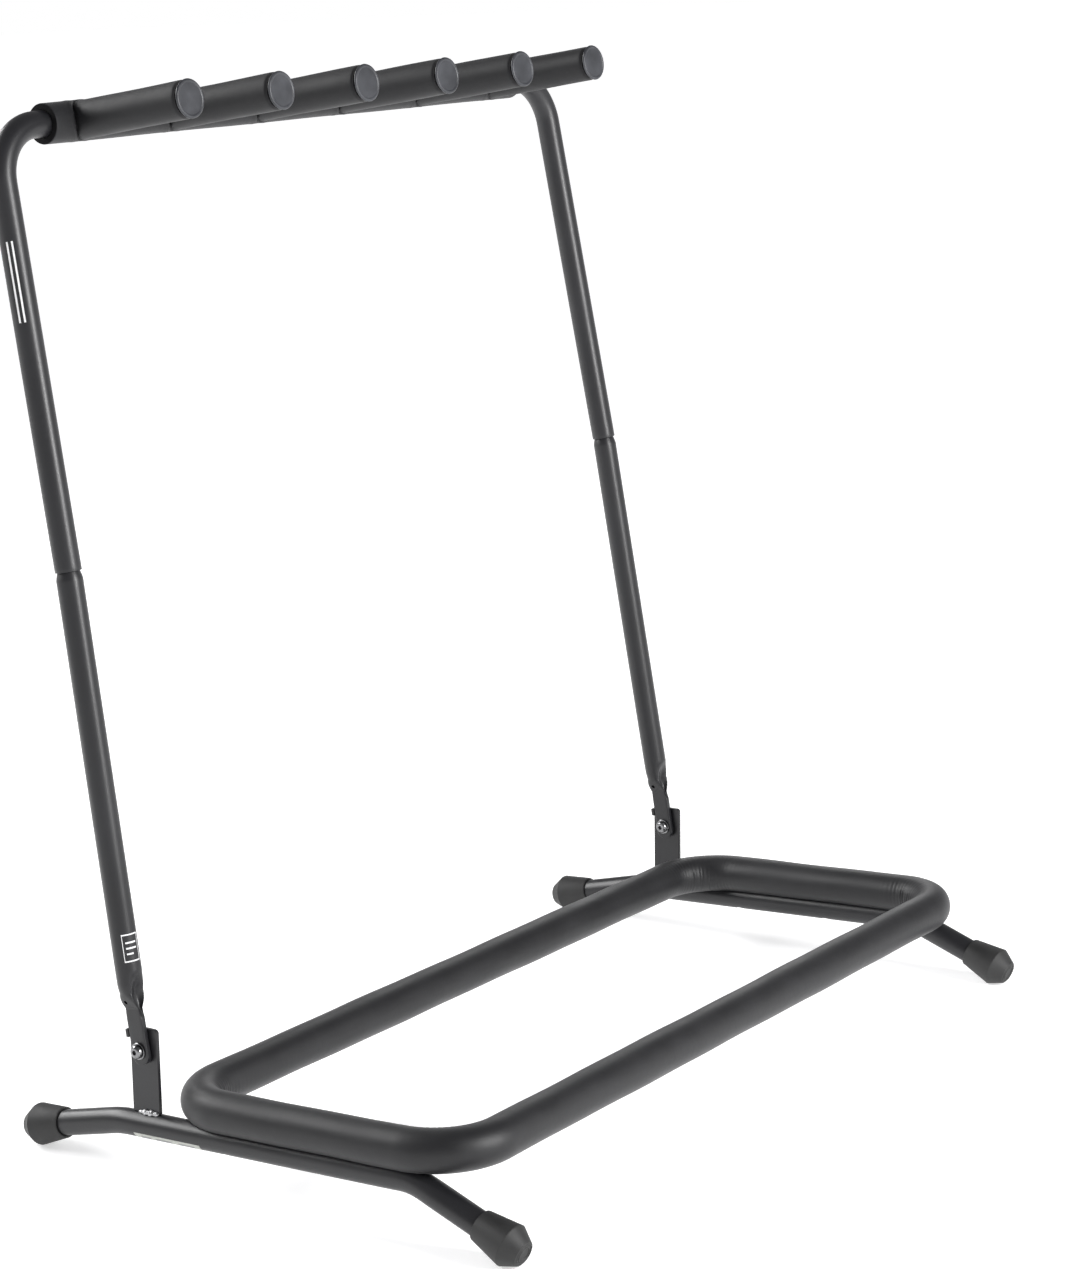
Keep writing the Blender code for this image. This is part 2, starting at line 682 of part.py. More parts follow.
def make_finger(number, steel, foam, plastic, copes, parts):
    root = finger_root(number)
    tip = root + FINGER_ALONG * (FINGER_REACH - CAP_THICKNESS - GAP)
    name = f"finger_{number}_tube"
    mesh = curve_mesh(name, [root, tip], TUBE_RADIUS - GAP, SMALL_SIDES, caps=False)
    tube = add_object(name, mesh, steel, parts)
    add_solidify(tube, TUBE_WALL)
    add_cut(tube, copes["steel"])
    name = f"finger_{number}_foam"
    mesh = curve_mesh(name, [root, tip], FINGER_FOAM_RADIUS, TUBE_SIDES, caps=False)
    sleeve = add_object(name, mesh, foam, parts)
    add_solidify(sleeve, foam_wall(FINGER_FOAM_RADIUS))
    add_cut(sleeve, copes["foam"])
    stem = (TUBE_RADIUS - GAP - TUBE_WALL) * math.cos(math.pi / SMALL_SIDES) - 2 * GAP
    profile = [
        (0, CAP_THICKNESS),
        (FINGER_FOAM_RADIUS - CAP_EDGE, CAP_THICKNESS),
        (FINGER_FOAM_RADIUS, CAP_THICKNESS - CAP_EDGE),
        (FINGER_FOAM_RADIUS, 0),
        (stem, 0),
        (stem * 0.94, -CAP_STEM),
        (0, -CAP_STEM),
    ]
    add_turned(
        f"finger_{number}_cap", profile, tip + FINGER_ALONG * GAP, FINGER_ALONG, TUBE_SIDES, plastic, parts
    )


def hang_on_axis(name, place, pieces, collection):
    """An empty on a joint's axis that carries the pieces that move with it."""
    axis = bpy.data.objects.new(name, None)
    collection.objects.link(axis)
    axis.empty_display_size = BASE_HALF_WIDTH / 4
    axis.matrix_world = Matrix.Translation(place)
    for piece in pieces:
        child = bpy.data.objects[piece]
        child.parent = axis
        child.matrix_parent_inverse = Matrix.Translation(-place)


def main():
    clear_scene()
    parts = make_collection("guitar_rack")
    cutters = make_collection("cutters")
    steel = make_material("powder_coated_steel", (0.045, 0.045, 0.05), 0.45, 0.3)
    foam = make_material("black_foam", (0.03, 0.03, 0.033), 0.85, 0.0)
    rubber = make_material("black_rubber", (0.025, 0.025, 0.025), 0.7, 0.0)
    plastic = make_material("cap_plastic", (0.05, 0.05, 0.055), 0.5, 0.0)
    zinc = make_material("zinc_plated_steel", (0.55, 0.55, 0.56), 0.3, 1.0)
    floor = make_floor_cutter(cutters)
    for side in ("left", "right"):
        make_foot_tube(side, steel, parts, cutters)
        for end in ("rear", "front"):
            make_rubber_foot(side, end, rubber, floor, parts)
        make_bracket(side, steel, parts, cutters)
        for number, along in enumerate(CRADLE_SCREWS_AT, 1):
            make_cradle_screw(side, number, along, zinc, parts)
        make_lower_leg(side, steel, parts, cutters)
        make_pivot_fasteners(side, zinc, parts, cutters)
    make_cradle(steel, foam, parts, cutters)
    make_yoke_tube(steel, parts)
    make_crossbar_foam(foam, parts, cutters)
    copes = {
        "steel": make_cope_cutter("stub_cope_cutter", TUBE_RADIUS + GAP, cutters),
        "foam": make_cope_cutter("sleeve_cope_cutter", CROSSBAR_FOAM_RADIUS + GAP, cutters),
    }
    for number in range(1, FINGER_COUNT + 1):
        make_finger(number, steel, foam, plastic, copes, parts)
    hang_on_axis("back_frame_axis", pivot("left"), ("left_lower_leg", "right_lower_leg"), parts)
    yoke_pieces = [obj.name for obj in parts.objects if obj.name.startswith(("yoke", "crossbar", "finger"))]
    hang_on_axis("yoke_axis", yoke_foot("left"), yoke_pieces, parts)


main()
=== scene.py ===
"""Guitar rack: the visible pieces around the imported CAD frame, their materials, light and camera."""

import math

import bmesh
import bpy
import numpy as np
from mathutils import Matrix, Vector


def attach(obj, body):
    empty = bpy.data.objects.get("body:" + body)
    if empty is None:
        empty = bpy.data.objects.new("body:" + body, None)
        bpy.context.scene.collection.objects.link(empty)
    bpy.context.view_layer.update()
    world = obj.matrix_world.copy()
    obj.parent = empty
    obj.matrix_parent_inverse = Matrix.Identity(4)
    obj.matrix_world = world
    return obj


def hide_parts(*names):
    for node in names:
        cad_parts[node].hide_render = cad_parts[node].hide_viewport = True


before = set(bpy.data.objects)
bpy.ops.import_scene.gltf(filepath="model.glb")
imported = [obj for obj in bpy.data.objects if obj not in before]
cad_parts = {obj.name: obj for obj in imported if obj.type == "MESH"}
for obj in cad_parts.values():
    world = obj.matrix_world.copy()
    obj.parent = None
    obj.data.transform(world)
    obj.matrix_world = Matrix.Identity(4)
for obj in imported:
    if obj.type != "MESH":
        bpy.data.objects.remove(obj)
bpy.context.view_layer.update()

# The driving sizes of the CAD, in metres
TUBE_RADIUS = 0.0095
TUBE_WALL = 0.0013
FINGER_FOAM_RADIUS = 0.0138
CROSSBAR_FOAM_RADIUS = 0.0145
CRADLE_FOAM_RADIUS = 0.0153
BASE_HALF_WIDTH = 0.331
CRADLE_PITCH = math.radians(2.1)
REAR_DROOP = math.radians(13.0)
FRONT_DROOP = math.radians(20.6)
REAR_BEND = 0.028
FRONT_BEND = 0.240
REAR_BEND_RADIUS = 0.100
FRONT_BEND_RADIUS = 0.055
FRONT_SOLE = 0.0835
FOOT_MOUTH_RADIUS = 0.0113
FOOT_RING_RADIUS = 0.0155
FOOT_END_RADIUS = 0.0092
FOOT_RING_AT = 0.0254
FOOT_LENGTH = 0.0367
FOOT_SOCKET = 0.0203
FOOT_SQUASH = 0.0005
CRADLE_HEIGHT = 0.0205
CRADLE_REAR = 0.0262
CRADLE_FRONT = 0.2795
CRADLE_CORNER_RADIUS = 0.045
CRADLE_SCREWS_AT = (0.075, 0.160)
ACCESS_HOLE_RADIUS = 0.0055
PIVOT_Y = 0.1043
PIVOT_HEIGHT = 0.0922
BRACKET_THICKNESS = 0.003
BRACKET_HALF_DEPTH = 0.0128
BRACKET_ABOVE_PIVOT = 0.0158
BRACKET_LEAN = math.radians(-2.0)
TAB_FROM = 0.0095
TAB_TO = 0.0158
BOLT_RADIUS = 0.003
BOLT_HEAD_RADIUS = 0.0050
BOLT_HEAD_HEIGHT = 0.0033
BOLT_END = 0.0020
SOCKET_RADIUS = 0.0020
WASHER_RADIUS = 0.0062
WASHER_THICKNESS = 0.0012
NUT_RADIUS = 0.0056
NUT_THICKNESS = 0.0052
LOWER_LEAN = math.radians(7.3)
SPLAY = math.radians(1.25)
LOWER_LENGTH = 0.3427
LEG_FLAT_WIDTH = 0.0148
LEG_FLAT_THICKNESS = 0.0046
LEG_BELOW_PIVOT = 0.0102
LEG_FLAT_TO = 0.031
SPLAY_FROM = 0.0235
LEG_ROUND_FROM = 0.050
SHOULDER_LENGTH = 0.006
SPIGOT_RADIUS = 0.0075
SPIGOT_FROM = 0.0002
SPIGOT_LEAD = 0.0012
SPIGOT_TOP_RADIUS = 0.0066
SPIGOT_LENGTH = 0.032
UPPER_LEAN = math.radians(8.6)
UPPER_LENGTH = 0.3082
YOKE_BEND_RADIUS = 0.039
FINGER_COUNT = 6
FINGER_PITCH = 0.0957
FINGER_RISE = math.radians(7.2)
FINGER_REACH = 0.1096
CAP_THICKNESS = 0.0026
CROSSBAR_FOAM_BEYOND = 0.032
FINGER_SEAT_RADIUS = 0.0112
GAP = 0.0003

# Sizes of the visible pieces alone
PINCH_DEPTH = 0.0004
PINCH_REACH = 0.014
SOLE_RIDGES = (0.58, 0.83)
RIDGE_HALF_WIDTH = 0.0008
RIDGE_HEIGHT = 0.0006
BRACKET_CORNER = 0.003
WELD_RADIUS = 0.0022
SHOULDER_RADIUS = 0.0080
SPIGOT_BORE = 0.0058
LEG_LOBE = 0.0058
LEG_SQUARENESS = 7.0
FOLD_FROM = 0.024
FOLD_TO = 0.058
FOLD_DEPTH = 0.0068
VENT_AT = 0.0362
VENT_BACK = 0.0022
VENT_RADIUS = 0.0015
BOLT_CROWN = 0.52
THREAD_DEPTH = 0.00035
THREAD_STEP = 0.00022
CREASE = 0.0006
CAP_STEM_LENGTH = 0.0115
PRINT_THICKNESS = 0.00016
LABEL_FROM = 0.097  # from the foot tube's rear end
LABEL_LENGTH = 0.064
LABEL_BARS = ((0.006, 0.016), (0.020, 0.036), (0.042, 0.058))
STRIPE_FROM = 0.078
STRIPE_TO = 0.134
FRAME_AT = 0.0855
FRAME_SIZE = 0.020
FRAME_STROKES = (  # down the leg in shares of the frame, and around it in degrees
    (0.00, 0.05, -55, 21),
    (0.95, 1.00, -55, 21),
    (0.05, 0.95, -55, -52),
    (0.05, 0.95, 18, 21),
    (0.28, 0.34, -41, 7),
    (0.48, 0.54, -41, 7),
    (0.68, 0.74, -41, -11),
)

X = Vector((1, 0, 0))
CRADLE_FORWARD = Vector((0, -math.cos(CRADLE_PITCH), math.sin(CRADLE_PITCH)))
CRADLE_UP = Vector((0, math.sin(CRADLE_PITCH), math.cos(CRADLE_PITCH)))
REAR_ALONG = Vector((0, math.cos(REAR_DROOP), -math.sin(REAR_DROOP)))
FRONT_ALONG = Vector((0, -math.cos(FRONT_DROOP), -math.sin(FRONT_DROOP)))
FINGER_ALONG = Vector((0, -math.cos(FINGER_RISE), math.sin(FINGER_RISE)))
LEG_UP = Vector((0, math.sin(LOWER_LEAN), math.cos(LOWER_LEAN)))
LEG_BACK = Vector((0, math.cos(LOWER_LEAN), -math.sin(LOWER_LEAN)))
YOKE_UP = Vector((0, math.sin(UPPER_LEAN), math.cos(UPPER_LEAN)))
YOKE_BACK = Vector((0, math.cos(UPPER_LEAN), -math.sin(UPPER_LEAN)))
FRONT_RING_DROP = FOOT_RING_RADIUS * math.cos(FRONT_DROOP) - FOOT_SQUASH
FRONT_BEND_HEIGHT = FRONT_RING_DROP + FRONT_SOLE * math.sin(FRONT_DROOP)
TUBE_HEIGHT = FRONT_BEND_HEIGHT - FRONT_BEND * math.sin(CRADLE_PITCH)
REAR_BEND_HEIGHT = TUBE_HEIGHT - REAR_BEND * math.sin(CRADLE_PITCH)
REAR_RING_DROP = FOOT_RING_RADIUS * math.cos(REAR_DROOP) - FOOT_SQUASH
REAR_SOLE = (REAR_BEND_HEIGHT - REAR_RING_DROP) / math.sin(REAR_DROOP)
LEG_OFFSET = BRACKET_THICKNESS / 2 + GAP + LEG_FLAT_THICKNESS / 2
SIDE_X = {"left": -BASE_HALF_WIDTH, "right": BASE_HALF_WIDTH}
INWARD = {"left": 1, "right": -1}

CAMERA = {
    "azimuth": -51.44,
    "elevation": 11.67,
    "roll": -2.93,
    "lens": 88.17,
    "shift": (0.0781, -0.00786),
    "place": (-1.83046, -1.37598, 0.81994),
}


# ---------------------------------------------------------------- materials

NOISE_RANGE = (0.3, 0.7)  # where most of a noise texture's values lie


def new_material(name):
    made = bpy.data.materials.new(name)
    made.use_nodes = True
    return made, made.node_tree, made.node_tree.nodes["Principled BSDF"]


def noise(tree, scale, detail=4.0, roughness=0.55, stretch=None):
    """A noise texture in object space, stretched if asked for."""
    nodes, links = tree.nodes, tree.links
    where = nodes.new("ShaderNodeTexCoord")
    texture = nodes.new("ShaderNodeTexNoise")
    texture.inputs["Scale"].default_value = scale
    texture.inputs["Detail"].default_value = detail
    texture.inputs["Roughness"].default_value = roughness
    if stretch:
        mapping = nodes.new("ShaderNodeMapping")
        mapping.inputs["Scale"].default_value = stretch
        links.new(where.outputs["Object"], mapping.inputs["Vector"])
        links.new(mapping.outputs["Vector"], texture.inputs["Vector"])
    else:
        links.new(where.outputs["Object"], texture.inputs["Vector"])
    return texture.outputs["Fac"]


def tint(tree, shader, value, low, high):
    """A base colour that follows the noise from one colour to another."""
    node = tree.nodes.new("ShaderNodeValToRGB")
    for element, at, colour in zip(node.color_ramp.elements, NOISE_RANGE, (low, high)):
        element.position = at
        element.color = (*colour, 1)
    tree.links.new(value, node.inputs["Fac"])
    tree.links.new(node.outputs["Color"], shader.inputs["Base Color"])


def spread(tree, value, start, end, low, high):
    """The value's stretch from start to end as low to high."""
    node = tree.nodes.new("ShaderNodeMapRange")
    for name, number in (("From Min", start), ("From Max", end), ("To Min", low), ("To Max", high)):
        node.inputs[name].default_value = number
    tree.links.new(value, node.inputs["Value"])
    return node.outputs["Result"]


def roughen(tree, shader, value, low, high):
    """A roughness that follows the noise from low to high."""
    tree.links.new(spread(tree, value, *NOISE_RANGE, low, high), shader.inputs["Roughness"])


def add_bump(tree, shader, layers):
    """Bumps of (height, strength, distance), one on another."""
    normal = None
    for height, strength, distance in layers:
        node = tree.nodes.new("ShaderNodeBump")
        node.inputs["Strength"].default_value = strength
        node.inputs["Distance"].default_value = distance
        tree.links.new(height, node.inputs["Height"])
        if normal:
            tree.links.new(normal, node.inputs["Normal"])
        normal = node.outputs["Normal"]
    tree.links.new(normal, shader.inputs["Normal"])


def powder_coat():
    """Satin black powder coating: a fine orange peel over the steel."""
    made, tree, shader = new_material("powder_coat")
    cloud = noise(tree, 14, 3)
    peel = noise(tree, 900, 2)
    grain = noise(tree, 2600, 2)
    tint(tree, shader, cloud, (0.0085, 0.0085, 0.010), (0.0145, 0.0145, 0.0165))
    roughen(tree, shader, cloud, 0.34, 0.40)
    shader.inputs["Specular IOR Level"].default_value = 0.46
    add_bump(tree, shader, ((peel, 0.12, 0.0004), (grain, 0.08, 0.0002)))
    return made


def foam_skin(name, roughness, specular):
    """Closed-cell foam with a smooth skin: soft cloudiness and tiny pores."""
    made, tree, shader = new_material(name)
    cloud = noise(tree, 26, 4)
    pores = noise(tree, 1500, 2, 0.7)
    dents = noise(tree, 90, 3)
    tint(tree, shader, cloud, (0.006, 0.006, 0.007), (0.012, 0.012, 0.0135))
    roughen(tree, shader, cloud, *roughness)
    shader.inputs["Specular IOR Level"].default_value = specular
    shader.inputs["Sheen Weight"].default_value = 0.05
    shader.inputs["Sheen Roughness"].default_value = 0.5
    add_bump(tree, shader, ((dents, 0.10, 0.002), (pores, 0.22, 0.0003)))
    return made


def cut_foam_painted_shade():
    """The open cells of a cut end: dull, and dark as painted shade for the sleeve's end."""
    made, tree, shader = new_material("cut_foam_painted_shade")
    cells = noise(tree, 1100, 3, 0.7)
    # The very dark colour is painted shade on the sleeve's cut ends; the open cells are dull.
    tint(tree, shader, cells, (0.003, 0.003, 0.003), (0.009, 0.009, 0.010))
    roughen(tree, shader, cells, 0.80, 0.95)
    shader.inputs["Specular IOR Level"].default_value = 0.12
    add_bump(tree, shader, ((cells, 0.4, 0.0005),))
    return made


def foot_rubber():
    """Dull black rubber with a fine grain."""
    made, tree, shader = new_material("foot_rubber")
    cloud = noise(tree, 40, 4)
    grain = noise(tree, 1200, 3, 0.7)
    tint(tree, shader, cloud, (0.013, 0.013, 0.013), (0.030, 0.030, 0.030))
    roughen(tree, shader, cloud, 0.55, 0.7)
    add_bump(tree, shader, ((grain, 0.25, 0.0003),))
    return made


def moulded_plastic(name, low, high):
    """Moulded plastic with a fine texture."""
    made, tree, shader = new_material(name)
    cloud = noise(tree, 60, 4)
    grain = noise(tree, 1600, 2)
    tint(tree, shader, cloud, low, high)
    roughen(tree, shader, cloud, 0.38, 0.5)
    add_bump(tree, shader, ((grain, 0.15, 0.0002),))
    return made


def zinc_plate():
    """Bright zinc plating with faint blotches and turning marks."""
    made, tree, shader = new_material("zinc_plate")
    blotch = noise(tree, 220, 4)
    marks = noise(tree, 900, 3, stretch=(0.1, 1, 1))
    tint(tree, shader, blotch, (0.15, 0.15, 0.155), (0.29, 0.29, 0.295))
    shader.inputs["Metallic"].default_value = 1.0
    roughen(tree, shader, blotch, 0.16, 0.30)
    add_bump(tree, shader, ((marks, 0.15, 0.0002),))
    return made


def weld_metal():
    """Bare bright weld metal, blotched by heat."""
    made, tree, shader = new_material("weld_metal")
    blotch = noise(tree, 300, 5)
    tint(tree, shader, blotch, (0.30, 0.30, 0.30), (0.75, 0.75, 0.76))
    shader.inputs["Metallic"].default_value = 0.9
    roughen(tree, shader, blotch, 0.25, 0.5)
    add_bump(tree, shader, ((blotch, 0.4, 0.001),))
    return made


def print_stock(name, low, high):
    """Paper or print with a little mottling."""
    made, tree, shader = new_material(name)
    fibre = noise(tree, 500, 4)
    tint(tree, shader, fibre, low, high)
    roughen(tree, shader, fibre, 0.45, 0.6)
    return made


def studio_floor():
    """Pale paint that glows a little, and more so far away."""
    made, tree, shader = new_material("studio_floor")
    cloud = noise(tree, 0.6, 3)
    tint(tree, shader, cloud, (0.86, 0.86, 0.86), (0.88, 0.88, 0.88))
    roughen(tree, shader, cloud, 0.8, 0.9)
    shader.inputs["Emission Color"].default_value = (1, 1, 1, 1)
    where = tree.nodes.new("ShaderNodeTexCoord")
    distance = tree.nodes.new("ShaderNodeVectorMath")
    distance.operation = "LENGTH"
    tree.links.new(where.outputs["Object"], distance.inputs[0])
    glow = spread(tree, distance.outputs["Value"], 1.2, 4.0, 0.52, 0.78)
    tree.links.new(glow, shader.inputs["Emission Strength"])
    return made


# ---------------------------------------------------------------- shapes

def rounded_path(corners, radii, steps, closed=False):
    """The corners' polyline with each inner corner turned into an arc of its own radius."""
    count = len(corners)
    points = []
    for i, corner in enumerate(corners):
        if not closed and i in (0, count - 1):
            points.append(corner.copy())
            continue
        back = (corners[i - 1] - corner).normalized()
        ahead = (corners[(i + 1) % count] - corner).normalized()
        half = back.angle(ahead) / 2
        centre = corner + (back + ahead).normalized() * radii[i] / math.sin(half)
        start = corner + back * radii[i] / math.tan(half)
        axis = back.cross(ahead).normalized()
        turn = math.pi - 2 * half
        for step in range(steps + 1):
            spin = Matrix.Rotation(-turn * step / steps, 3, axis)
            points.append(centre + spin @ (start - centre))
    return points


def resample(points, spacing, closed=False):
    """The polyline's points at even spacing, and how far along it each one lies."""
    p = np.array([list(q) for q in points])
    if closed:
        p = np.vstack([p, p[:1]])
    lengths = np.concatenate([[0], np.cumsum(np.linalg.norm(np.diff(p, axis=0), axis=1))])
    count = max(int(round(lengths[-1] / spacing)), 2)
    at = np.linspace(0, lengths[-1], count + 1)
    if closed:
        at = at[:-1]
    return np.stack([np.interp(at, lengths, p[:, k]) for k in range(3)], axis=1), at


def mesh_object(name, verts, faces, material, smooth=40):
    """A new object, shaded smooth but for edges sharper than so many degrees."""
    mesh = bpy.data.meshes.new(name)
    mesh.from_pydata([tuple(v) for v in verts], [], faces)
    mesh.update()
    shape = bmesh.new()
    shape.from_mesh(mesh)
    bmesh.ops.recalc_face_normals(shape, faces=shape.faces)
    shape.to_mesh(mesh)
    shape.free()
    mesh.shade_smooth()
    mesh.set_sharp_from_angle(angle=math.radians(smooth))
    mesh.materials.append(material)
    obj = bpy.data.objects.new(name, mesh)
    bpy.context.scene.collection.objects.link(obj)
    return obj


def sweep_rings(points, normal, radius, angles, closed):
    """Rings of points round a planar path; radius is a number or an array of rings by angles."""
    if closed:
        tangent = np.roll(points, -1, 0) - np.roll(points, 1, 0)
    else:
        tangent = np.gradient(points, axis=0)
    tangent /= np.linalg.norm(tangent, axis=1)[:, None]
    n = np.array(normal, float)
    side = np.cross(tangent, n)
    side /= np.linalg.norm(side, axis=1)[:, None]
    up = np.cross(side, tangent)
    turn = np.asarray(angles)[None, :, None]
    spoke = np.cos(turn) * side[:, None, :] + np.sin(turn) * up[:, None, :]
    reach = np.broadcast_to(np.asarray(radius, float), (len(points), len(angles)))
    return points[:, None, :] + spoke * reach[:, :, None]


def bridge(first, second, sides):
    """Quads between the ring of vertices that starts at first and the one at second."""
    faces = []
    for j in range(sides):
        k = (j + 1) % sides
        faces.append((first + j, first + k, second + k, second + j))
    return faces


def rim_loops(ring, centre, out, rounded):
    """Loops that turn an open end's outer edge over by the given rounding."""
    spoke = (ring - centre) / np.linalg.norm(ring - centre, axis=1)[:, None]
    loops = []
    for share in (0.35, 0.7, 1.0):
        lift = rounded * math.sin(share * math.pi / 2)
        inset = rounded * (1 - math.cos(share * math.pi / 2))
        loops.append(ring - spoke * inset + out * lift)
    return loops


def skin_loops(name, loops, material, ring_closed, smooth=40):
    """A mesh over successive loops, closed on itself or capped at its two ends."""
    sides = len(loops[0])
    verts = [v for loop in loops for v in loop]
    faces = []
    for i in range(len(loops) - 1):
        faces += bridge(i * sides, (i + 1) * sides, sides)
    last = (len(loops) - 1) * sides
    if ring_closed:
        faces += bridge(last, 0, sides)
    else:
        faces.append(tuple(range(sides)))
        faces.append(tuple(range(last, last + sides)))
    return mesh_object(name, verts, faces, material, smooth)


def sweep(
    name, points, normal, radius, material, sides, closed=False, bore=None, rounded=0.0, push=None
):
    """A solid or hollow tube along a planar path. Rounded softens the rims, and push moves the rings."""
    angles = np.linspace(0, math.tau, sides, endpoint=False)
    rings = sweep_rings(points, normal, radius, angles, closed)
    if push:
        rings = push(rings)
    if closed:
        return skin_loops(name, list(rings), material, True)
    inside = points.copy()
    loops = list(rings)
    if rounded:
        first = (points[0] - points[1]) / np.linalg.norm(points[0] - points[1])
        last = (points[-1] - points[-2]) / np.linalg.norm(points[-1] - points[-2])
        start = rim_loops(rings[0], points[0], first, rounded)
        end = rim_loops(rings[-1], points[-1], last, rounded)
        loops = start[::-1] + loops + end
        inside[0] += first * rounded
        inside[-1] += last * rounded
    if bore:
        hollow = sweep_rings(inside, normal, bore, angles, False)
        loops += list(hollow[::-1])
    return skin_loops(name, loops, material, bool(bore))


def turned(name, profile, start, along, material, sides=64, smooth=35):
    """A closed (radius, height) profile turned about the line from start along its direction."""
    turn = along.to_track_quat("Z", "Y").to_matrix()
    verts = []
    faces = []
    rings = []
    for radius, height in profile:
        if radius < 1e-6:
            rings.append((len(verts), 1))
            verts.append(start + turn @ Vector((0, 0, height)))
            continue
        rings.append((len(verts), sides))
        for j in range(sides):
            a = math.tau * j / sides
            verts.append(start + turn @ Vector((radius * math.cos(a), radius * math.sin(a), height)))
    pairs = list(zip(rings, rings[1:]))
    if profile[0][0] > 1e-6:
        pairs.append((rings[-1], rings[0]))
    for (a, many_a), (b, many_b) in pairs:
        for j in range(sides):
            k = (j + 1) % sides
            if many_a == 1:
                faces.append((a, b + j, b + k))
            elif many_b == 1:
                faces.append((a + j, a + k, b))
            else:
                faces.append((a + j, a + k, b + k, b + j))
    return mesh_object(name, verts, faces, material, smooth)


def bevel(obj, width, segments):
    """A bevel on the object's sharp edges."""
    made = obj.modifiers.new("edges", "BEVEL")
    made.width = width
    made.segments = segments
    made.limit_method = "ANGLE"
    made.angle_limit = math.radians(30)
    made.harden_normals = False


def bake(obj):
    """The object's modifiers applied to its mesh."""
    graph = bpy.context.evaluated_depsgraph_get()
    mesh = bpy.data.meshes.new_from_object(obj.evaluated_get(graph))
    obj.modifiers.clear()
    obj.data = mesh


def cut_with(obj, cutters):
    """The cutters taken out of the object, and removed."""
    for cutter in cutters:
        cut = obj.modifiers.new("cut", "BOOLEAN")
        cut.operation = "DIFFERENCE"
        cut.solver = "EXACT"
        cut.object = cutter
    bake(obj)
    for cutter in cutters:
        bpy.data.objects.remove(cutter)
    obj.data.shade_smooth()
    obj.data.set_sharp_from_angle(angle=math.radians(35))


def hole_cutter(start, end, radius, material, sides=32):
    """A rod from start to end, for a hole that keeps the material on its wall."""
    along = (end - start).normalized()
    length = (end - start).length
    profile = [(0, 0), (radius, 0), (radius, length), (0, length)]
    return turned("hole", profile, start, along, material, sides)


def straight(start, along, distances):
    """Points on a line, at the distances from its start."""
    return np.array([list(start + along * d) for d in distances])


# ---------------------------------------------------------------- places

def tube_point(side, along, up=0.0):
    """A point by a foot tube: forward of the pivot along the straight middle, and up from it."""
    origin = Vector((SIDE_X[side], PIVOT_Y, TUBE_HEIGHT))
    return origin + CRADLE_FORWARD * along + CRADLE_UP * up


def pivot(side, offset=0.0):
    return Vector((SIDE_X[side] + offset, PIVOT_Y, PIVOT_HEIGHT))


def leg_centre(side, distance):
    """The lower leg's centre line, which starts to lean inward above the pivot."""
    above = max(distance - SPLAY_FROM, 0)
    inward = X * INWARD[side] * math.tan(SPLAY) * above
    return pivot(side, -LEG_OFFSET) + LEG_UP * distance + inward


def yoke_corner(side):
    inward = X * INWARD[side] * math.tan(SPLAY) * UPPER_LENGTH
    return leg_centre(side, LOWER_LENGTH) + YOKE_UP * UPPER_LENGTH + inward


def crossbar_centre():
    return (yoke_corner("left") + yoke_corner("right")) / 2


def finger_root(number):
    centre = crossbar_centre()
    return Vector(((number - 1 - (FINGER_COUNT - 1) / 2) * FINGER_PITCH, centre.y, centre.z))


# ---------------------------------------------------------------- pieces

def finish_piece(obj, body, slot, *nodes):
    """The body that carries the piece, and the CAD nodes it stands for, which are hidden; slot is not
    used.
    """
    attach(obj, body)
    if nodes:
        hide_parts(*nodes)


def foot_path(side):
    """The foot tube's centre line from its rear end to its front end."""
    inside = FOOT_SOCKET - GAP - FOOT_RING_AT
    corners = [
        tube_point(side, -REAR_BEND) + REAR_ALONG * (REAR_SOLE + inside),
        tube_point(side, -REAR_BEND),
        tube_point(side, FRONT_BEND),
        tube_point(side, FRONT_BEND) + FRONT_ALONG * (FRONT_SOLE + inside),
    ]
    return rounded_path(corners, (0, REAR_BEND_RADIUS, FRONT_BEND_RADIUS, 0), 24)


def make_foot_tube(side, paint):
    """A bent tube, its front bend very slightly flattened as a bender leaves it."""
    points, at = resample(foot_path(side), 0.002)
    sides = 64
    angles = np.linspace(0, math.tau, sides, endpoint=False)
    bend_at = at[-1] - (FRONT_SOLE - FOOT_RING_AT + FOOT_SOCKET)
    pinch = np.exp(-(((at - bend_at) / PINCH_REACH) ** 2))[:, None]
    radius = TUBE_RADIUS - PINCH_DEPTH * pinch * np.abs(np.sin(angles))[None, :]
    tube = sweep(side + "_foot_tube_skin", points, X, radius, paint, sides, bore=TUBE_RADIUS - TUBE_WALL)
    holes = []
    for along in CRADLE_SCREWS_AT:
        below = tube_point(side, along, -0.02)
        holes.append(hole_cutter(below, tube_point(side, along), ACCESS_HOLE_RADIUS, paint))
    cut_with(tube, holes)
    finish_piece(tube, "base", "powder_coated_steel", side + "_foot_tube")


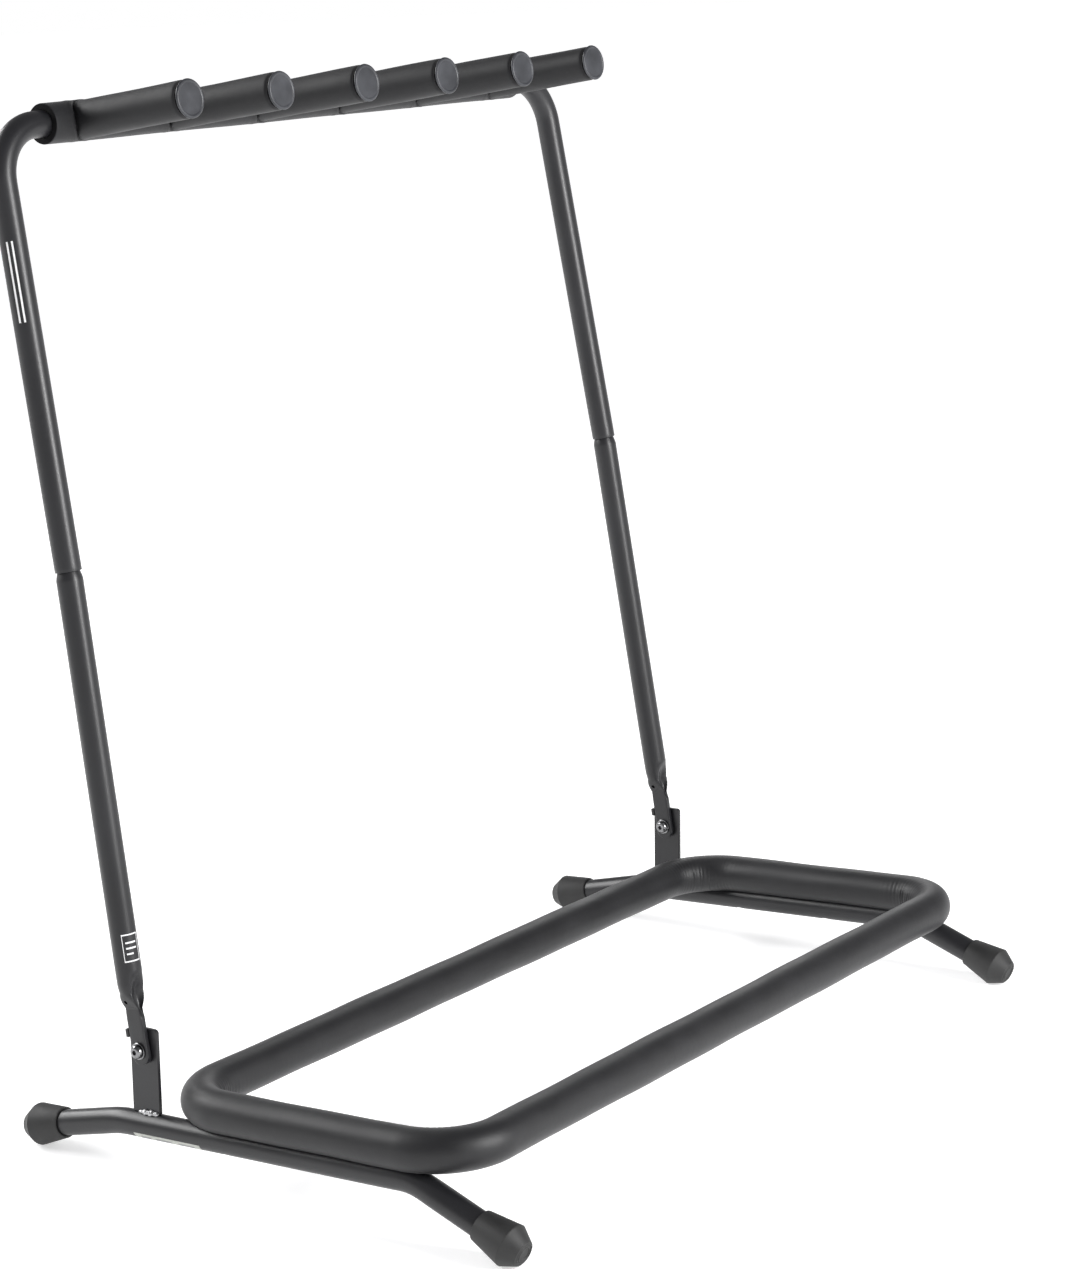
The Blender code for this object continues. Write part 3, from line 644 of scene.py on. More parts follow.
def make_rubber_foot(side, end, material):
    """A turned foot: a cone out to the ring, a chamfer back to the sole, and the socket."""
    corner = tube_point(side, -REAR_BEND if end == "rear" else FRONT_BEND)
    along = REAR_ALONG if end == "rear" else FRONT_ALONG
    sole = REAR_SOLE if end == "rear" else FRONT_SOLE
    socket = TUBE_RADIUS + GAP / 2
    ring, mouth, tip = FOOT_RING_RADIUS, FOOT_MOUTH_RADIUS, FOOT_END_RADIUS
    profile = [(0, FOOT_LENGTH)]
    for ridge in SOLE_RIDGES:
        centre = tip * ridge
        profile += [
            (centre - RIDGE_HALF_WIDTH, FOOT_LENGTH),
            (centre, FOOT_LENGTH + RIDGE_HEIGHT),
            (centre + RIDGE_HALF_WIDTH, FOOT_LENGTH),
        ]
    profile += [
        (tip - 0.0005, FOOT_LENGTH),
        (tip, FOOT_LENGTH - 0.0002),
        (tip + 0.0004, FOOT_LENGTH - 0.0008),
        (ring - 0.0005, FOOT_RING_AT + 0.0010),
        (ring - 0.0001, FOOT_RING_AT + 0.0004),
        (ring, FOOT_RING_AT),
        (ring - 0.0002, FOOT_RING_AT - 0.0009),
        (mouth + 0.0001, 0.0009),
        (mouth - 0.0002, 0.0002),
        (mouth - 0.0006, 0),
        (socket + 0.0003, 0),
        (socket, 0.0004),
        (socket, FOOT_SOCKET),
        (0, FOOT_SOCKET),
    ]
    start = corner + along * (sole - FOOT_RING_AT)
    foot = turned(f"{side}_{end}_foot_rubber", profile, start, along, material, 96, 25)
    floor_gap = 0.0001
    for v in foot.data.vertices:
        v.co.z = max(v.co.z, floor_gap)
    finish_piece(foot, "base", "black_rubber", f"{side}_{end}_foot")


def make_bracket(side, paint, weld):
    """A plate with rounded top corners, then its stop tab and the weld at its foot."""
    half = BRACKET_HALF_DEPTH
    foot = TUBE_HEIGHT + TUBE_RADIUS - PIVOT_HEIGHT + 0.0001
    outline = []
    for sign, start in ((1, 0.0), (-1, math.pi / 2)):
        for step in range(7):
            a = start + math.pi / 2 * step / 6
            depth = sign * (half - BRACKET_CORNER) + BRACKET_CORNER * math.cos(a)
            outline.append((depth, BRACKET_ABOVE_PIVOT - BRACKET_CORNER + BRACKET_CORNER * math.sin(a)))
    outline += [(-half, foot + 0.0005), (half, foot - 0.0005)]
    verts = []
    for x in (-BRACKET_THICKNESS / 2, BRACKET_THICKNESS / 2):
        for depth, height in outline:
            verts.append(pivot(side, x) + Vector((0, depth + height * math.tan(BRACKET_LEAN), height)))
    n = len(outline)
    faces = [tuple(range(n)), tuple(range(2 * n - 1, n - 1, -1))]
    faces += [(i, (i + 1) % n, n + (i + 1) % n, n + i) for i in range(n)]
    plate = mesh_object(side + "_bracket_plate", verts, faces, paint, 30)
    hole = hole_cutter(pivot(side, -0.01), pivot(side, 0.01), BOLT_RADIUS + GAP, paint)
    cut_with(plate, [hole])
    bevel(plate, 0.0004, 2)
    finish_piece(plate, "base", "powder_coated_steel", side + "_bracket")
    make_stop_tab(side, paint)
    make_weld(side, weld)


def make_stop_tab(side, paint):
    """The plate's tab, bent round behind the leg, which stops it as it opens."""
    reach = LEG_FLAT_THICKNESS + GAP + BRACKET_THICKNESS / 2
    middle = (
        pivot(side, -reach / 2)
        + LEG_UP * (TAB_FROM + TAB_TO) / 2
        + LEG_BACK * (LEG_FLAT_WIDTH / 2 + GAP + BRACKET_THICKNESS / 2)
    )
    shape = bmesh.new()
    turn = Matrix.Rotation(-LOWER_LEAN, 4, "X")
    size = Matrix.Diagonal((reach, BRACKET_THICKNESS, TAB_TO - TAB_FROM, 1))
    bmesh.ops.create_cube(shape, size=1, matrix=Matrix.Translation(middle) @ turn @ size)
    mesh = bpy.data.meshes.new(side + "_stop_tab")
    shape.to_mesh(mesh)
    shape.free()
    mesh.materials.append(paint)
    tab = bpy.data.objects.new(side + "_stop_tab", mesh)
    bpy.context.scene.collection.objects.link(tab)
    bevel(tab, 0.0008, 3)
    finish_piece(tab, "base", "powder_coated_steel")


def make_weld(side, weld):
    """A short bead with its ripples, along the plate's foot on the -X face."""
    count, sides = 60, 16
    half = BRACKET_HALF_DEPTH - 0.0035
    height = TUBE_HEIGHT + TUBE_RADIUS
    verts = []
    faces = []
    for i in range(count):
        share = i / (count - 1)
        y = PIVOT_Y + half * (1 - 2 * share) - 0.001
        taper = math.sin(math.pi * min(max(share, 0.02), 0.98)) ** 0.35
        ripple = 1 + 0.22 * math.sin(share * 21 + 1) + 0.10 * math.sin(share * 57)
        radius = WELD_RADIUS * taper * ripple
        x = SIDE_X[side] - BRACKET_THICKNESS / 2 - 0.0002
        z = height + 0.0003 - (y - PIVOT_Y) * math.tan(CRADLE_PITCH)
        for j in range(sides):
            a = math.tau * j / sides
            verts.append((x + radius * math.cos(a), y, z + radius * 1.1 * math.sin(a)))
    for i in range(count - 1):
        faces += bridge(i * sides, (i + 1) * sides, sides)
    faces.append(tuple(range(sides)))
    faces.append(tuple(range((count - 1) * sides, count * sides)))
    bead = mesh_object(side + "_weld_bead", verts, faces, weld, 60)
    finish_piece(bead, "base", "powder_coated_steel")


def leg_shape():
    """(distance, half width, half thickness, squareness, fold) up the leg; squareness 2 is round."""
    w, t = LEG_FLAT_WIDTH / 2, LEG_FLAT_THICKNESS / 2
    rows = []
    for a in np.linspace(0.06, 1.0, 10):
        height = LEG_LOBE * (1 - math.cos(a * math.pi / 2))
        width = w - LEG_LOBE + LEG_LOBE * math.sin(a * math.pi / 2)
        rows.append((-LEG_BELOW_PIVOT + height, width, t, LEG_SQUARENESS, 0.0))
    heights = list(np.linspace(0.0, LEG_FLAT_TO, 24))
    heights += list(np.linspace(LEG_FLAT_TO, LEG_ROUND_FROM, 40)[1:])
    heights += list(np.linspace(LEG_ROUND_FROM, 0.066, 16)[1:])
    for d in heights:
        share = min(max((d - LEG_FLAT_TO) / (LEG_ROUND_FROM - LEG_FLAT_TO), 0), 1)
        blend = 1 - (1 - share) ** 1.8
        along = min(max((d - FOLD_FROM) / (FOLD_TO - FOLD_FROM), 0), 1)
        fold = FOLD_DEPTH * math.sin(math.pi * along) ** 1.3
        half_width = w + (TUBE_RADIUS - w) * blend
        half_thickness = t + (TUBE_RADIUS - t) * blend
        squareness = LEG_SQUARENESS - (LEG_SQUARENESS - 2) * min(blend * 1.2, 1)
        rows.append((d, half_width, half_thickness, squareness, fold))
    for d in np.linspace(0.070, LOWER_LENGTH - SHOULDER_LENGTH, 40):
        rows.append((d, TUBE_RADIUS, TUBE_RADIUS, 2.0, 0.0))
    for share in np.linspace(0.05, 1.0, 14):
        radius = SHOULDER_RADIUS + (TUBE_RADIUS - SHOULDER_RADIUS) * (1 - share**1.3)
        rows.append((LOWER_LENGTH - SHOULDER_LENGTH * (1 - share), radius, radius, 2.0, 0.0))
    return rows


def leg_ring(centre, across, half_width, half_thickness, squareness, fold, sides):
    """One section: a superellipse whose front edge is folded in, and whose back edge a little."""
    ring = []
    power = 2 / squareness
    for i in range(sides):
        a = math.tau * i / sides
        c, s = math.cos(a), math.sin(a)
        x = math.copysign(abs(s) ** power * half_thickness, s)
        y = math.copysign(abs(c) ** power * half_width, c)
        front = math.pi - abs(math.atan2(s, c))
        back = abs(math.atan2(s, c))
        y += fold * math.exp(-((front / 0.62) ** 2))
        y -= 0.25 * fold * math.exp(-((back / 0.5) ** 2))
        ring.append(centre + X * x + across * y)
    return ring


def make_lower_leg(side, paint):
    """The leg and its spigot in one skin, with the eye for the bolt and a small vent above the flat."""
    sides = 96
    rings = []
    for distance, half_width, half_thickness, squareness, fold in leg_shape():
        centre = leg_centre(side, distance)
        rings.append(leg_ring(centre, LEG_BACK, half_width, half_thickness, squareness, fold, sides))
    top = leg_centre(side, LOWER_LENGTH)
    drift = X * INWARD[side] * math.tan(SPLAY) * SPIGOT_LENGTH / 2
    spigot = (
        (SPIGOT_FROM, SPIGOT_RADIUS),
        (SPIGOT_LENGTH - SPIGOT_LEAD, SPIGOT_RADIUS),
        (SPIGOT_LENGTH, SPIGOT_TOP_RADIUS),
        (SPIGOT_LENGTH, SPIGOT_BORE),
        (0.002, SPIGOT_BORE),
    )
    for height, radius in spigot:
        rings.append(leg_ring(top + drift + YOKE_UP * height, YOKE_BACK, radius, radius, 2.0, 0.0, sides))
    verts = [v for ring in rings for v in ring]
    faces = []
    for i in range(len(rings) - 1):
        faces += bridge(i * sides, (i + 1) * sides, sides)
    faces.append(tuple(range(sides)))
    faces.append(tuple(range((len(rings) - 1) * sides, len(rings) * sides)))
    leg = mesh_object(side + "_lower_leg_skin", verts, faces, paint, 50)
    eye = hole_cutter(pivot(side, -0.02), pivot(side, 0.02), BOLT_RADIUS + GAP, paint)
    vent_at = leg_centre(side, VENT_AT) + LEG_BACK * VENT_BACK
    vent = hole_cutter(vent_at - X * 0.02, vent_at - X * 0.0005, VENT_RADIUS, paint)
    cut_with(leg, [eye, vent])
    finish_piece(leg, "back_frame", "powder_coated_steel", side + "_lower_leg")


def make_washer(name, start, along, metal, node):
    """A flat washer with its rim eased, more on the outer face."""
    bore, rim, top = BOLT_RADIUS + GAP, WASHER_RADIUS, WASHER_THICKNESS
    profile = [(bore, 0), (rim - 0.0002, 0), (rim, 0.0003)]
    profile += [(rim, top - 0.0003), (rim - 0.0003, top), (bore, top)]
    finish_piece(turned(name, profile, start, along, metal), "base", "zinc_plated_steel", node)


def make_nut(side, start, metal):
    """A lock nut: a hexagon with a chamfered rim and a round collar on top."""
    sides = 72
    bore = (BOLT_RADIUS + GAP / 2) / NUT_RADIUS
    profile = [(0.0, 0.94), (0.0004, 1.0), (0.0034, 1.0), (0.0040, 0.93), (0.0044, 0.78)]
    profile += [(NUT_THICKNESS, 0.74), (NUT_THICKNESS, bore), (0.0, bore)]
    loops = []
    for height, share in profile:
        loop = []
        for j in range(sides):
            a = math.tau * j / sides
            flat = NUT_RADIUS * math.cos(math.pi / 6) / math.cos((a % (math.pi / 3)) - math.pi / 6)
            radius = min(flat, NUT_RADIUS * share)
            loop.append(start + Vector((height, radius * math.cos(a), radius * math.sin(a))))
        loops.append(loop)
    nut = skin_loops(side + "_lock_nut", loops, metal, True, 25)
    finish_piece(nut, "base", "zinc_plated_steel", side + "_pivot_nut")


def make_fasteners(side, metal):
    """A button-head socket screw from -X with a washer, and a washer and lock nut on its +X end."""
    leg_face = BRACKET_THICKNESS / 2 + 2 * GAP + LEG_FLAT_THICKNESS
    make_washer(side + "_head_washer_ring", pivot(side, -leg_face), -X, metal, side + "_bolt_washer")
    plate_face = BRACKET_THICKNESS / 2 + GAP
    make_washer(side + "_nut_washer_ring", pivot(side, plate_face), X, metal, side + "_nut_washer")
    nut_at = plate_face + WASHER_THICKNESS + GAP
    make_nut(side, pivot(side, nut_at), metal)
    make_bolt(side, leg_face + WASHER_THICKNESS + GAP, nut_at + NUT_THICKNESS, metal)


def make_bolt(side, head, thread_from, metal):
    """A domed head with a hexagon socket, and the thread that shows past the nut."""
    end = thread_from + BOLT_END
    top = head + BOLT_HEAD_HEIGHT
    rim = 0.0006
    profile = [(0, top), (BOLT_HEAD_RADIUS * BOLT_CROWN, top)]
    for share in np.linspace(0.15, 1.0, 9):
        a = (1 - share) * math.pi / 2
        reach = BOLT_HEAD_RADIUS * (BOLT_CROWN + (1 - BOLT_CROWN) * math.cos(a))
        profile.append((reach, head + rim + (BOLT_HEAD_HEIGHT - rim) * math.sin(a)))
    profile += [(BOLT_HEAD_RADIUS, head + 0.0002), (BOLT_HEAD_RADIUS - 0.0003, head), (BOLT_RADIUS, head)]
    for k in range(8):
        depth = THREAD_DEPTH if k % 2 else 0.0
        profile.append((BOLT_RADIUS - depth, -thread_from + 0.0002 - k * THREAD_STEP))
    profile += [(BOLT_RADIUS * 0.78, -end), (0, -end)]
    bolt = turned(side + "_pivot_screw", profile, pivot(side), -X, metal, 64, 30)
    socket = hole_cutter(pivot(side, -top - 0.001), pivot(side, -top + 0.0021), SOCKET_RADIUS, metal, 6)
    cut_with(bolt, [socket])
    finish_piece(bolt, "base", "zinc_plated_steel", side + "_pivot_bolt")


def cradle_points():
    """The cradle loop's centre line."""
    corners = [
        tube_point("left", CRADLE_REAR, CRADLE_HEIGHT),
        tube_point("left", CRADLE_FRONT, CRADLE_HEIGHT),
        tube_point("right", CRADLE_FRONT, CRADLE_HEIGHT),
        tube_point("right", CRADLE_REAR, CRADLE_HEIGHT),
    ]
    return resample(rounded_path(corners, (CRADLE_CORNER_RADIUS,) * 4, 30, True), 0.0011, True)[0]


def corner_share(points):
    """1 in the middle of each corner of the loop and 0 on its straight bars."""
    ahead = np.roll(points, -4, 0) - points
    behind = points - np.roll(points, 4, 0)
    ahead /= np.linalg.norm(ahead, axis=1)[:, None]
    behind /= np.linalg.norm(behind, axis=1)[:, None]
    bend = np.linalg.norm(np.cross(behind, ahead), axis=1)
    bend /= bend.max()
    kernel = np.hanning(61)
    kernel /= kernel.sum()
    wide = np.concatenate([bend[-30:], bend, bend[:30]])
    return np.convolve(wide, kernel, "valid")


def press_on_tubes(rings):
    """Foam that would be inside a foot tube is pushed out of it, with a soft lip beside it."""
    clear = TUBE_RADIUS + 0.00025
    tangent = FRONT_BEND_RADIUS * math.tan((FRONT_DROOP + CRADLE_PITCH) / 2)
    for side in ("left", "right"):
        rel = rings - np.array(tube_point(side, 0))
        reach = rel @ np.array(CRADLE_FORWARD)
        past = np.maximum(reach - (FRONT_BEND - tangent), 0)
        drop = np.minimum(past**2 / (2 * FRONT_BEND_RADIUS), past * math.tan(FRONT_DROOP + CRADLE_PITCH))
        centre = reach[..., None] * np.array(CRADLE_FORWARD) - drop[..., None] * np.array(CRADLE_UP)
        axis = rel - centre
        distance = np.linalg.norm(axis, axis=-1)
        inside = distance < clear
        push = np.maximum(clear - distance, 0)
        lip = 0.0004 * np.exp(-(((distance - clear - 0.0015) / 0.0016) ** 2)) * (~inside)
        rings = rings + axis / np.maximum(distance, 1e-6)[..., None] * (push + lip)[..., None]
    return rings


def make_cradle_foam(skin):
    """The loop's sleeve, creased on the inside of its corners and uneven as foam is."""
    points = cradle_points()
    sides = 72
    angles = np.linspace(0, math.tau, sides, endpoint=False)
    corner = corner_share(points)[:, None]
    inner = np.exp(-(((angles - math.pi) / 1.05) ** 2))[None, :]
    turn = (math.tau * np.arange(len(points)) / len(points))[:, None]
    wave = 0.6 * np.sin(400 * turn + 1.3 * np.sin(24 * turn)) + 0.4 * np.sin(560 * turn + 2.0)
    patch = 0.5 + 0.5 * np.sin(15 * turn + 0.7) * np.sin(angles * 2 + 10 * turn)
    crease = corner * inner * wave * patch * CREASE
    slow = 0.00018 * np.sin(8 * turn + 0.4) + 0.00012 * np.sin(21 * turn + 2 * np.sin(angles)[None, :])
    radius = CRADLE_FOAM_RADIUS - 0.0001 + crease + 0.0003 * corner * inner + slow
    flat = np.exp(-((((angles + math.pi) % math.tau - math.pi) / 1.0) ** 2))[None, :]
    radius = radius - 0.0006 * corner * flat
    name = "cradle_foam_sleeve"
    foam = sweep(name, points, CRADLE_UP, radius, skin, sides, closed=True, push=press_on_tubes)
    finish_piece(foam, "base", "black_foam", "cradle_foam")


def make_yoke_tube(paint):
    """One tube: up the left side, across and down the right side."""
    corners = [
        leg_centre("left", LOWER_LENGTH) + YOKE_UP * GAP,
        yoke_corner("left"),
        yoke_corner("right"),
        leg_centre("right", LOWER_LENGTH) + YOKE_UP * GAP,
    ]
    points = resample(rounded_path(corners, (YOKE_BEND_RADIUS,) * 4, 30), 0.003)[0]
    bore = TUBE_RADIUS - TUBE_WALL
    tube = sweep("yoke_tube_skin", points, YOKE_BACK, TUBE_RADIUS, paint, 64, bore=bore, rounded=0.0003)
    finish_piece(tube, "yoke", "powder_coated_steel", "yoke_tube")


def make_crossbar_foam(skin, cut):
    """The crossbar's sleeve, pressed in where each finger's sleeve sits on it, with dull cut ends in
    painted shade.
    """
    half = (FINGER_COUNT - 1) / 2 * FINGER_PITCH + CROSSBAR_FOAM_BEYOND - 0.0006
    centre = crossbar_centre()
    points, at = resample([centre - X * half, centre + X * half], 0.0012)
    sides = 72
    angles = np.linspace(0, math.tau, sides, endpoint=False)
    up = Vector((0, 0, 1))
    wave = np.sin(at[:, None] * 37 + np.cos(angles)[None, :])
    radius = CROSSBAR_FOAM_RADIUS - 0.00015 + 0.00015 * wave
    rings = sweep_rings(points, up, CROSSBAR_FOAM_RADIUS, angles, False) - np.array(centre)
    ahead = rings @ np.array(FINGER_ALONG)
    above = rings @ np.array(FINGER_ALONG.cross(X))
    for number in range(1, FINGER_COUNT + 1):
        beside = rings[..., 0] - finger_root(number).x
        out = np.hypot(beside, above) - FINGER_FOAM_RADIUS + 0.0006
        dent = np.clip(1 - out / 0.0009, 0, 1) * (ahead > 0)
        radius = radius - (CROSSBAR_FOAM_RADIUS - FINGER_SEAT_RADIUS + 0.0003) * dent
        radius = radius + 0.0003 * np.exp(-(((out - 0.0028) / 0.0013) ** 2)) * (ahead > 0)
    bore = TUBE_RADIUS + GAP
    foam = sweep("crossbar_foam_sleeve", points, up, radius, skin, sides, bore=bore, rounded=0.0006)
    # The end faces take the cut foam, whose darker colour is painted shade.
    foam.data.materials.append(cut)
    for face in foam.data.polygons:
        if abs(face.normal.x) > 0.8 and abs(face.center.x) > half - 0.001:
            face.material_index = 1
    finish_piece(foam, "yoke", "black_foam", "crossbar_foam")


def make_finger(number, skin, plastic):
    """A finger's sleeve, whose root sits round the crossbar's sleeve, and its end cap."""
    root = finger_root(number)
    face = root + FINGER_ALONG * FINGER_REACH
    back = face - FINGER_ALONG * (CAP_THICKNESS + 0.0004)
    length = (back - root).length - 0.0005
    sides = 72
    angles = np.linspace(0, math.tau, sides, endpoint=False)
    across = np.array(FINGER_ALONG.cross(X))
    spokes = np.cos(angles)[:, None] * np.array(X) + np.sin(angles)[:, None] * across

    def ring_at(share, radius):
        """A ring whose root end is cut to sit in the crossbar's sleeve."""
        reach = np.broadcast_to(radius, (sides,))
        begin = np.sqrt(np.maximum(FINGER_SEAT_RADIUS**2 - (np.sin(angles) * reach) ** 2, 0))
        along = begin + (length - begin) * share
        return np.array(root) + spokes * reach[:, None] + along[:, None] * np.array(FINGER_ALONG)

    stretches = (np.linspace(0, 0.08, 9)[:-1], np.linspace(0.08, 0.97, 60)[:-1], np.linspace(0.97, 1, 8))
    shares = np.concatenate(stretches)
    loops = []
    for share in shares:
        s = share * length
        wobble = 0.00016 * math.sin(s * 55 + number) + 0.00010 * np.sin(3 * angles + number)
        lip = 0.0004 * math.exp(-(((s - 0.003) / 0.003) ** 2)) - 0.0006 * math.exp(-((s / 0.0010) ** 2))
        tip = -0.0007 * math.exp(-(((length - s) / 0.0016) ** 2))
        loops.append(ring_at(share, FINGER_FOAM_RADIUS - 0.00025 + wobble + lip + tip))
    for share in shares[::-1]:
        loops.append(ring_at(share, TUBE_RADIUS + 0.0002))
    foam = skin_loops(f"finger_{number}_foam_sleeve", loops, skin, True)
    finish_piece(foam, "yoke", "black_foam", f"finger_{number}_foam")
    make_cap(number, face, plastic)


def make_cap(number, face, plastic):
    """A disc with a raised rim round a sunk face, and a stem inside the finger's tube."""
    edge = FINGER_FOAM_RADIUS
    stem_end = -CAP_THICKNESS - CAP_STEM_LENGTH
    stem = TUBE_RADIUS - TUBE_WALL - 2 * GAP
    profile = [
        (0, -0.0004),
        (edge - 0.0026, -0.0004),
        (edge - 0.0021, -0.0001),
        (edge - 0.0016, 0.0),
        (edge - 0.0011, -0.00005),
        (edge - 0.0006, -0.0003),
        (edge - 0.0002, -0.0007),
        (edge, -0.0012),
        (edge - 0.0001, -0.0016),
        (edge - 0.0012, -0.0020),
        (edge - 0.0014, -CAP_THICKNESS),
        (stem, -CAP_THICKNESS),
        (stem * 0.94, stem_end),
        (0, stem_end),
    ]
    cap = turned(f"finger_{number}_end_cap", profile, face, FINGER_ALONG, plastic, 96, 30)
    finish_piece(cap, "yoke", "cap_plastic", f"finger_{number}_cap")


def tube_patch(name, line, normal, radius, angles, material):
    """A thin closed patch wrapped on a tube along part of its centre line."""
    outer = sweep_rings(line, normal, radius + PRINT_THICKNESS, angles, False)
    inner = sweep_rings(line, normal, radius + 0.00002, angles, False)
    many, rings = len(angles), len(line)
    verts = list(outer.reshape(-1, 3)) + list(inner.reshape(-1, 3))
    below = rings * many
    faces = []
    for i in range(rings - 1):
        for j in range(many - 1):
            a = i * many + j
            faces.append((a, a + 1, a + many + 1, a + many))
            faces.append((below + a, below + a + many, below + a + many + 1, below + a + 1))
    edge = list(range(many))
    edge += [i * many + many - 1 for i in range(1, rings)]
    edge += [(rings - 1) * many + j for j in range(many - 2, -1, -1)]
    edge += [i * many for i in range(rings - 2, 0, -1)]
    for a, b in zip(edge, edge[1:] + edge[:1]):
        faces.append((a, below + a, below + b, b))
    return mesh_object(name, verts, faces, material, 60)


def make_label(stock, ink):
    """A blank pale strip with darker bars, on the outer lower side of the left foot tube."""
    points, at = resample(foot_path("left"), 0.001)
    start, end = LABEL_FROM, LABEL_FROM + LABEL_LENGTH
    line = points[(at >= start) & (at <= end)]
    angles = np.radians(np.linspace(-157, -112, 12))
    label = tube_patch("left_foot_label", line, X, TUBE_RADIUS, angles, stock)
    finish_piece(label, "base", "powder_coated_steel")
    angles = np.radians(np.linspace(-141, -127, 4))
    for number, (low, high) in enumerate(LABEL_BARS, 1):
        line = points[(at >= start + low) & (at <= start + high)]
        bar = tube_patch(f"left_label_bar_{number}", line, X, TUBE_RADIUS + 0.00018, angles, ink)
        finish_piece(bar, "base", "powder_coated_steel")


def make_marks(print_white):
    """Plain printed marks on the left upright: two slim stripes above, and a small frame below."""
    corner = yoke_corner("left")
    low = leg_centre("left", LOWER_LENGTH)
    down = (low - corner).normalized()
    line = straight(corner, down, np.linspace(STRIPE_FROM, STRIPE_TO, 40))
    for number, middle in enumerate((-72, -50), 1):
        angles = np.radians(np.linspace(middle - 4, middle + 4, 5))
        stripe = tube_patch(f"left_upright_stripe_{number}", line, X, TUBE_RADIUS, angles, print_white)
        finish_piece(stripe, "yoke", "powder_coated_steel")
    frame_top = leg_centre("left", FRAME_AT)
    leg_down = (leg_centre("left", 0.060) - frame_top).normalized()
    for number, (first, last, left, right) in enumerate(FRAME_STROKES, 1):
        line = straight(frame_top, leg_down, np.linspace(first * FRAME_SIZE, last * FRAME_SIZE, 24))
        angles = np.radians(np.linspace(left, right, max(int(abs(right - left) / 3), 3)))
        stroke = tube_patch(f"left_leg_mark_{number}", line, X, TUBE_RADIUS, angles, print_white)
        finish_piece(stroke, "back_frame", "powder_coated_steel")


def paint_kept_nodes(paint, metal):
    """The CAD pieces that stay are inside the foam and the foot tubes."""
    for name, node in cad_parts.items():
        if node.hide_render:
            continue
        node.data.materials.clear()
        node.data.materials.append(metal if "screw" in name else paint)


# ---------------------------------------------------------------- studio

def make_floor():
    """A wide floor, just under the feet."""
    mesh = bpy.data.meshes.new("floor")
    size = 60.0
    corners = [(-size, -size, 0), (size, -size, 0), (size, size, 0), (-size, size, 0)]
    mesh.from_pydata(corners, [], [(0, 1, 2, 3)])
    mesh.materials.append(studio_floor())
    floor = bpy.data.objects.new("floor", mesh)
    floor.location = (0, 0, -0.0002)
    bpy.context.scene.collection.objects.link(floor)


def make_world():
    """A soft dome, white at the horizon and grey overhead."""
    world = bpy.data.worlds.new("studio")
    world.use_nodes = True
    bpy.context.scene.world = world
    tree = world.node_tree
    shade = tree.nodes["Background"]
    where = tree.nodes.new("ShaderNodeTexCoord")
    split = tree.nodes.new("ShaderNodeSeparateXYZ")
    colours = tree.nodes.new("ShaderNodeValToRGB")
    horizon, low = colours.color_ramp.elements
    horizon.position = 0.0
    horizon.color = (1.0, 1.0, 1.0, 1)
    low.position = 0.04
    low.color = (0.84, 0.84, 0.84, 1)
    overhead = colours.color_ramp.elements.new(0.35)
    overhead.color = (0.27, 0.27, 0.28, 1)
    tree.links.new(where.outputs["Generated"], split.inputs["Vector"])
    tree.links.new(split.outputs["Z"], colours.inputs["Fac"])
    tree.links.new(colours.outputs["Color"], shade.inputs["Color"])
    shade.inputs["Strength"].default_value = 1.0
    bpy.context.scene.view_settings.view_transform = "Standard"


def add_area(name, place, target, size, power):
    """A rectangular light at the place, aimed at the target."""
    light = bpy.data.lights.new(name, "AREA")
    light.shape = "RECTANGLE"
    light.size, light.size_y = size
    light.energy = power
    obj = bpy.data.objects.new(name, light)
    obj.location = place
    obj.rotation_mode = "QUATERNION"
    obj.rotation_quaternion = (Vector(target) - Vector(place)).to_track_quat("-Z", "Y")
    bpy.context.scene.collection.objects.link(obj)


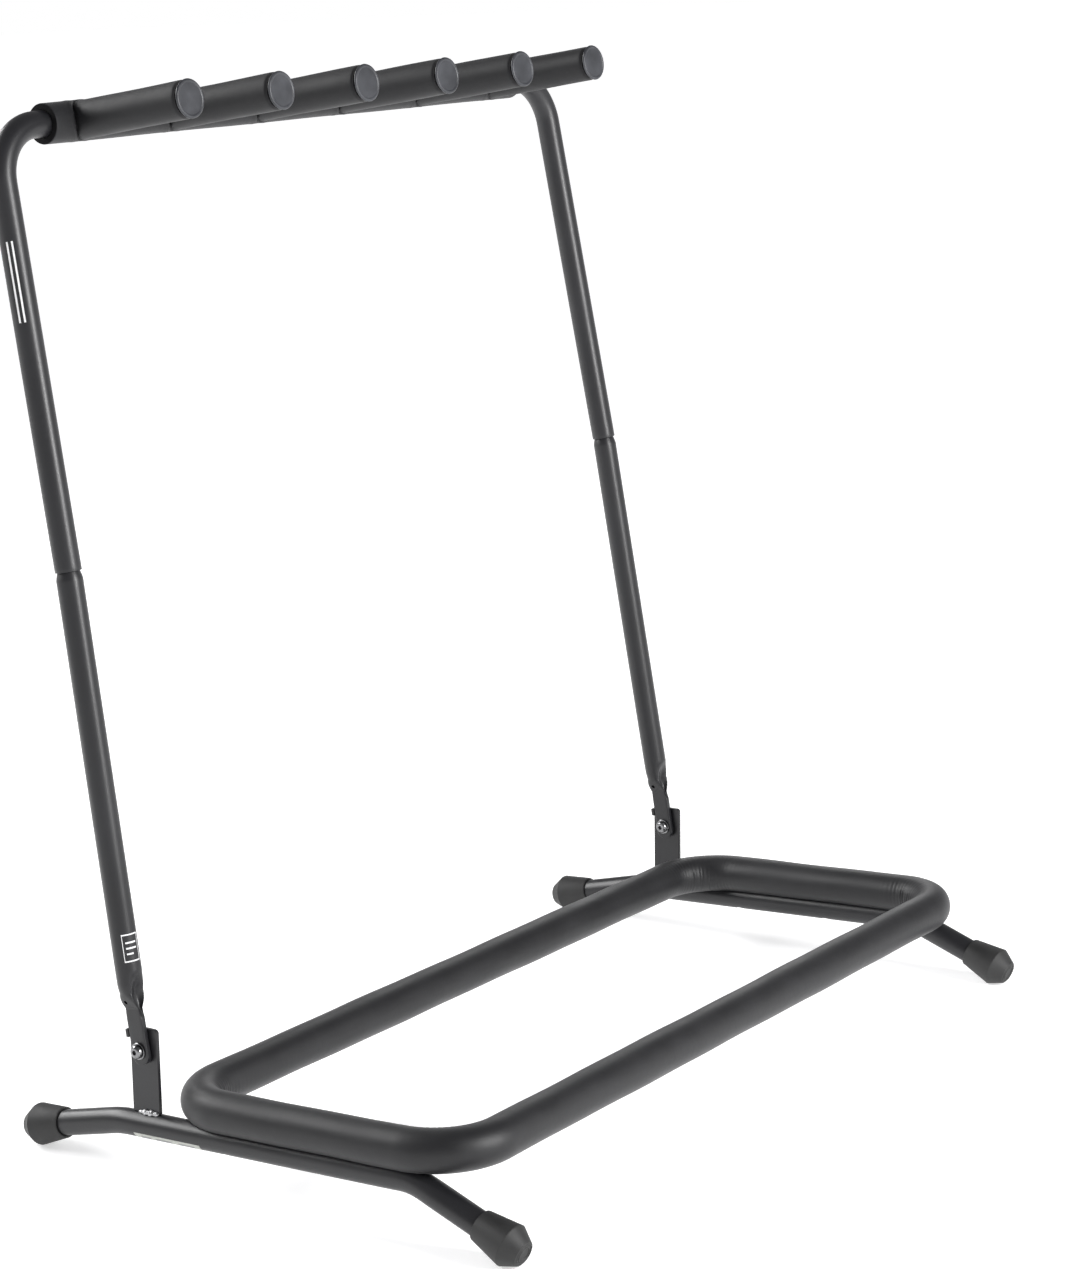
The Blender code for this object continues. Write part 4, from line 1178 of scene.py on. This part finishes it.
def make_camera():
    """A long lens to the rack's front left, a little above it."""
    azimuth, elevation, roll = (math.radians(CAMERA[key]) for key in ("azimuth", "elevation", "roll"))
    back = Vector(
        (
            math.sin(azimuth) * math.cos(elevation),
            -math.cos(azimuth) * math.cos(elevation),
            math.sin(elevation),
        )
    )
    level = Vector((0, 0, 1)).cross(back).normalized()
    above = back.cross(level)
    right = level * math.cos(roll) + above * math.sin(roll)
    up = above * math.cos(roll) - level * math.sin(roll)
    data = bpy.data.cameras.new("camera")
    data.lens = CAMERA["lens"]
    data.shift_x, data.shift_y = CAMERA["shift"]
    data.clip_end = 200
    camera = bpy.data.objects.new("camera", data)
    camera.matrix_world = Matrix(
        (
            (right.x, up.x, back.x, CAMERA["place"][0]),
            (right.y, up.y, back.y, CAMERA["place"][1]),
            (right.z, up.z, back.z, CAMERA["place"][2]),
            (0, 0, 0, 1),
        )
    )
    bpy.context.scene.collection.objects.link(camera)
    bpy.context.scene.camera = camera


def main():
    paint = powder_coat()
    skin = foam_skin("sleeve_foam_skin", (0.54, 0.64), 0.27)
    rubber = foot_rubber()
    plastic = moulded_plastic("cap_plastic_face", (0.017, 0.018, 0.022), (0.042, 0.044, 0.051))
    metal = zinc_plate()
    weld = weld_metal()
    for side in ("left", "right"):
        make_foot_tube(side, paint)
        for end in ("rear", "front"):
            make_rubber_foot(side, end, rubber)
        make_bracket(side, paint, weld)
        make_lower_leg(side, paint)
        make_fasteners(side, metal)
    make_cradle_foam(foam_skin("cradle_foam_skin", (0.44, 0.53), 0.42))
    make_yoke_tube(paint)
    make_crossbar_foam(skin, cut_foam_painted_shade())
    for number in range(1, FINGER_COUNT + 1):
        make_finger(number, skin, plastic)
    ink = moulded_plastic("label_grey", (0.20, 0.20, 0.21), (0.34, 0.34, 0.35))
    make_label(print_stock("blank_label", (0.40, 0.41, 0.38), (0.52, 0.53, 0.49)), ink)
    make_marks(print_stock("mark_white", (0.68, 0.68, 0.69), (0.80, 0.80, 0.80)))
    paint_kept_nodes(paint, metal)
    make_floor()
    make_world()
    add_area("front_box", (0.08, -2.5, 1.15), (0, 0.1, 0.45), (0.60, 1.3), 80)
    add_area("rear_box", (-0.65, 2.1, 1.55), (0, 0, 0.25), (2.2, 0.9), 62)
    add_area("right_box", (2.6, 1.4, 1.5), (0, 0, 0.2), (1.0, 1.4), 10)
    make_camera()


main()
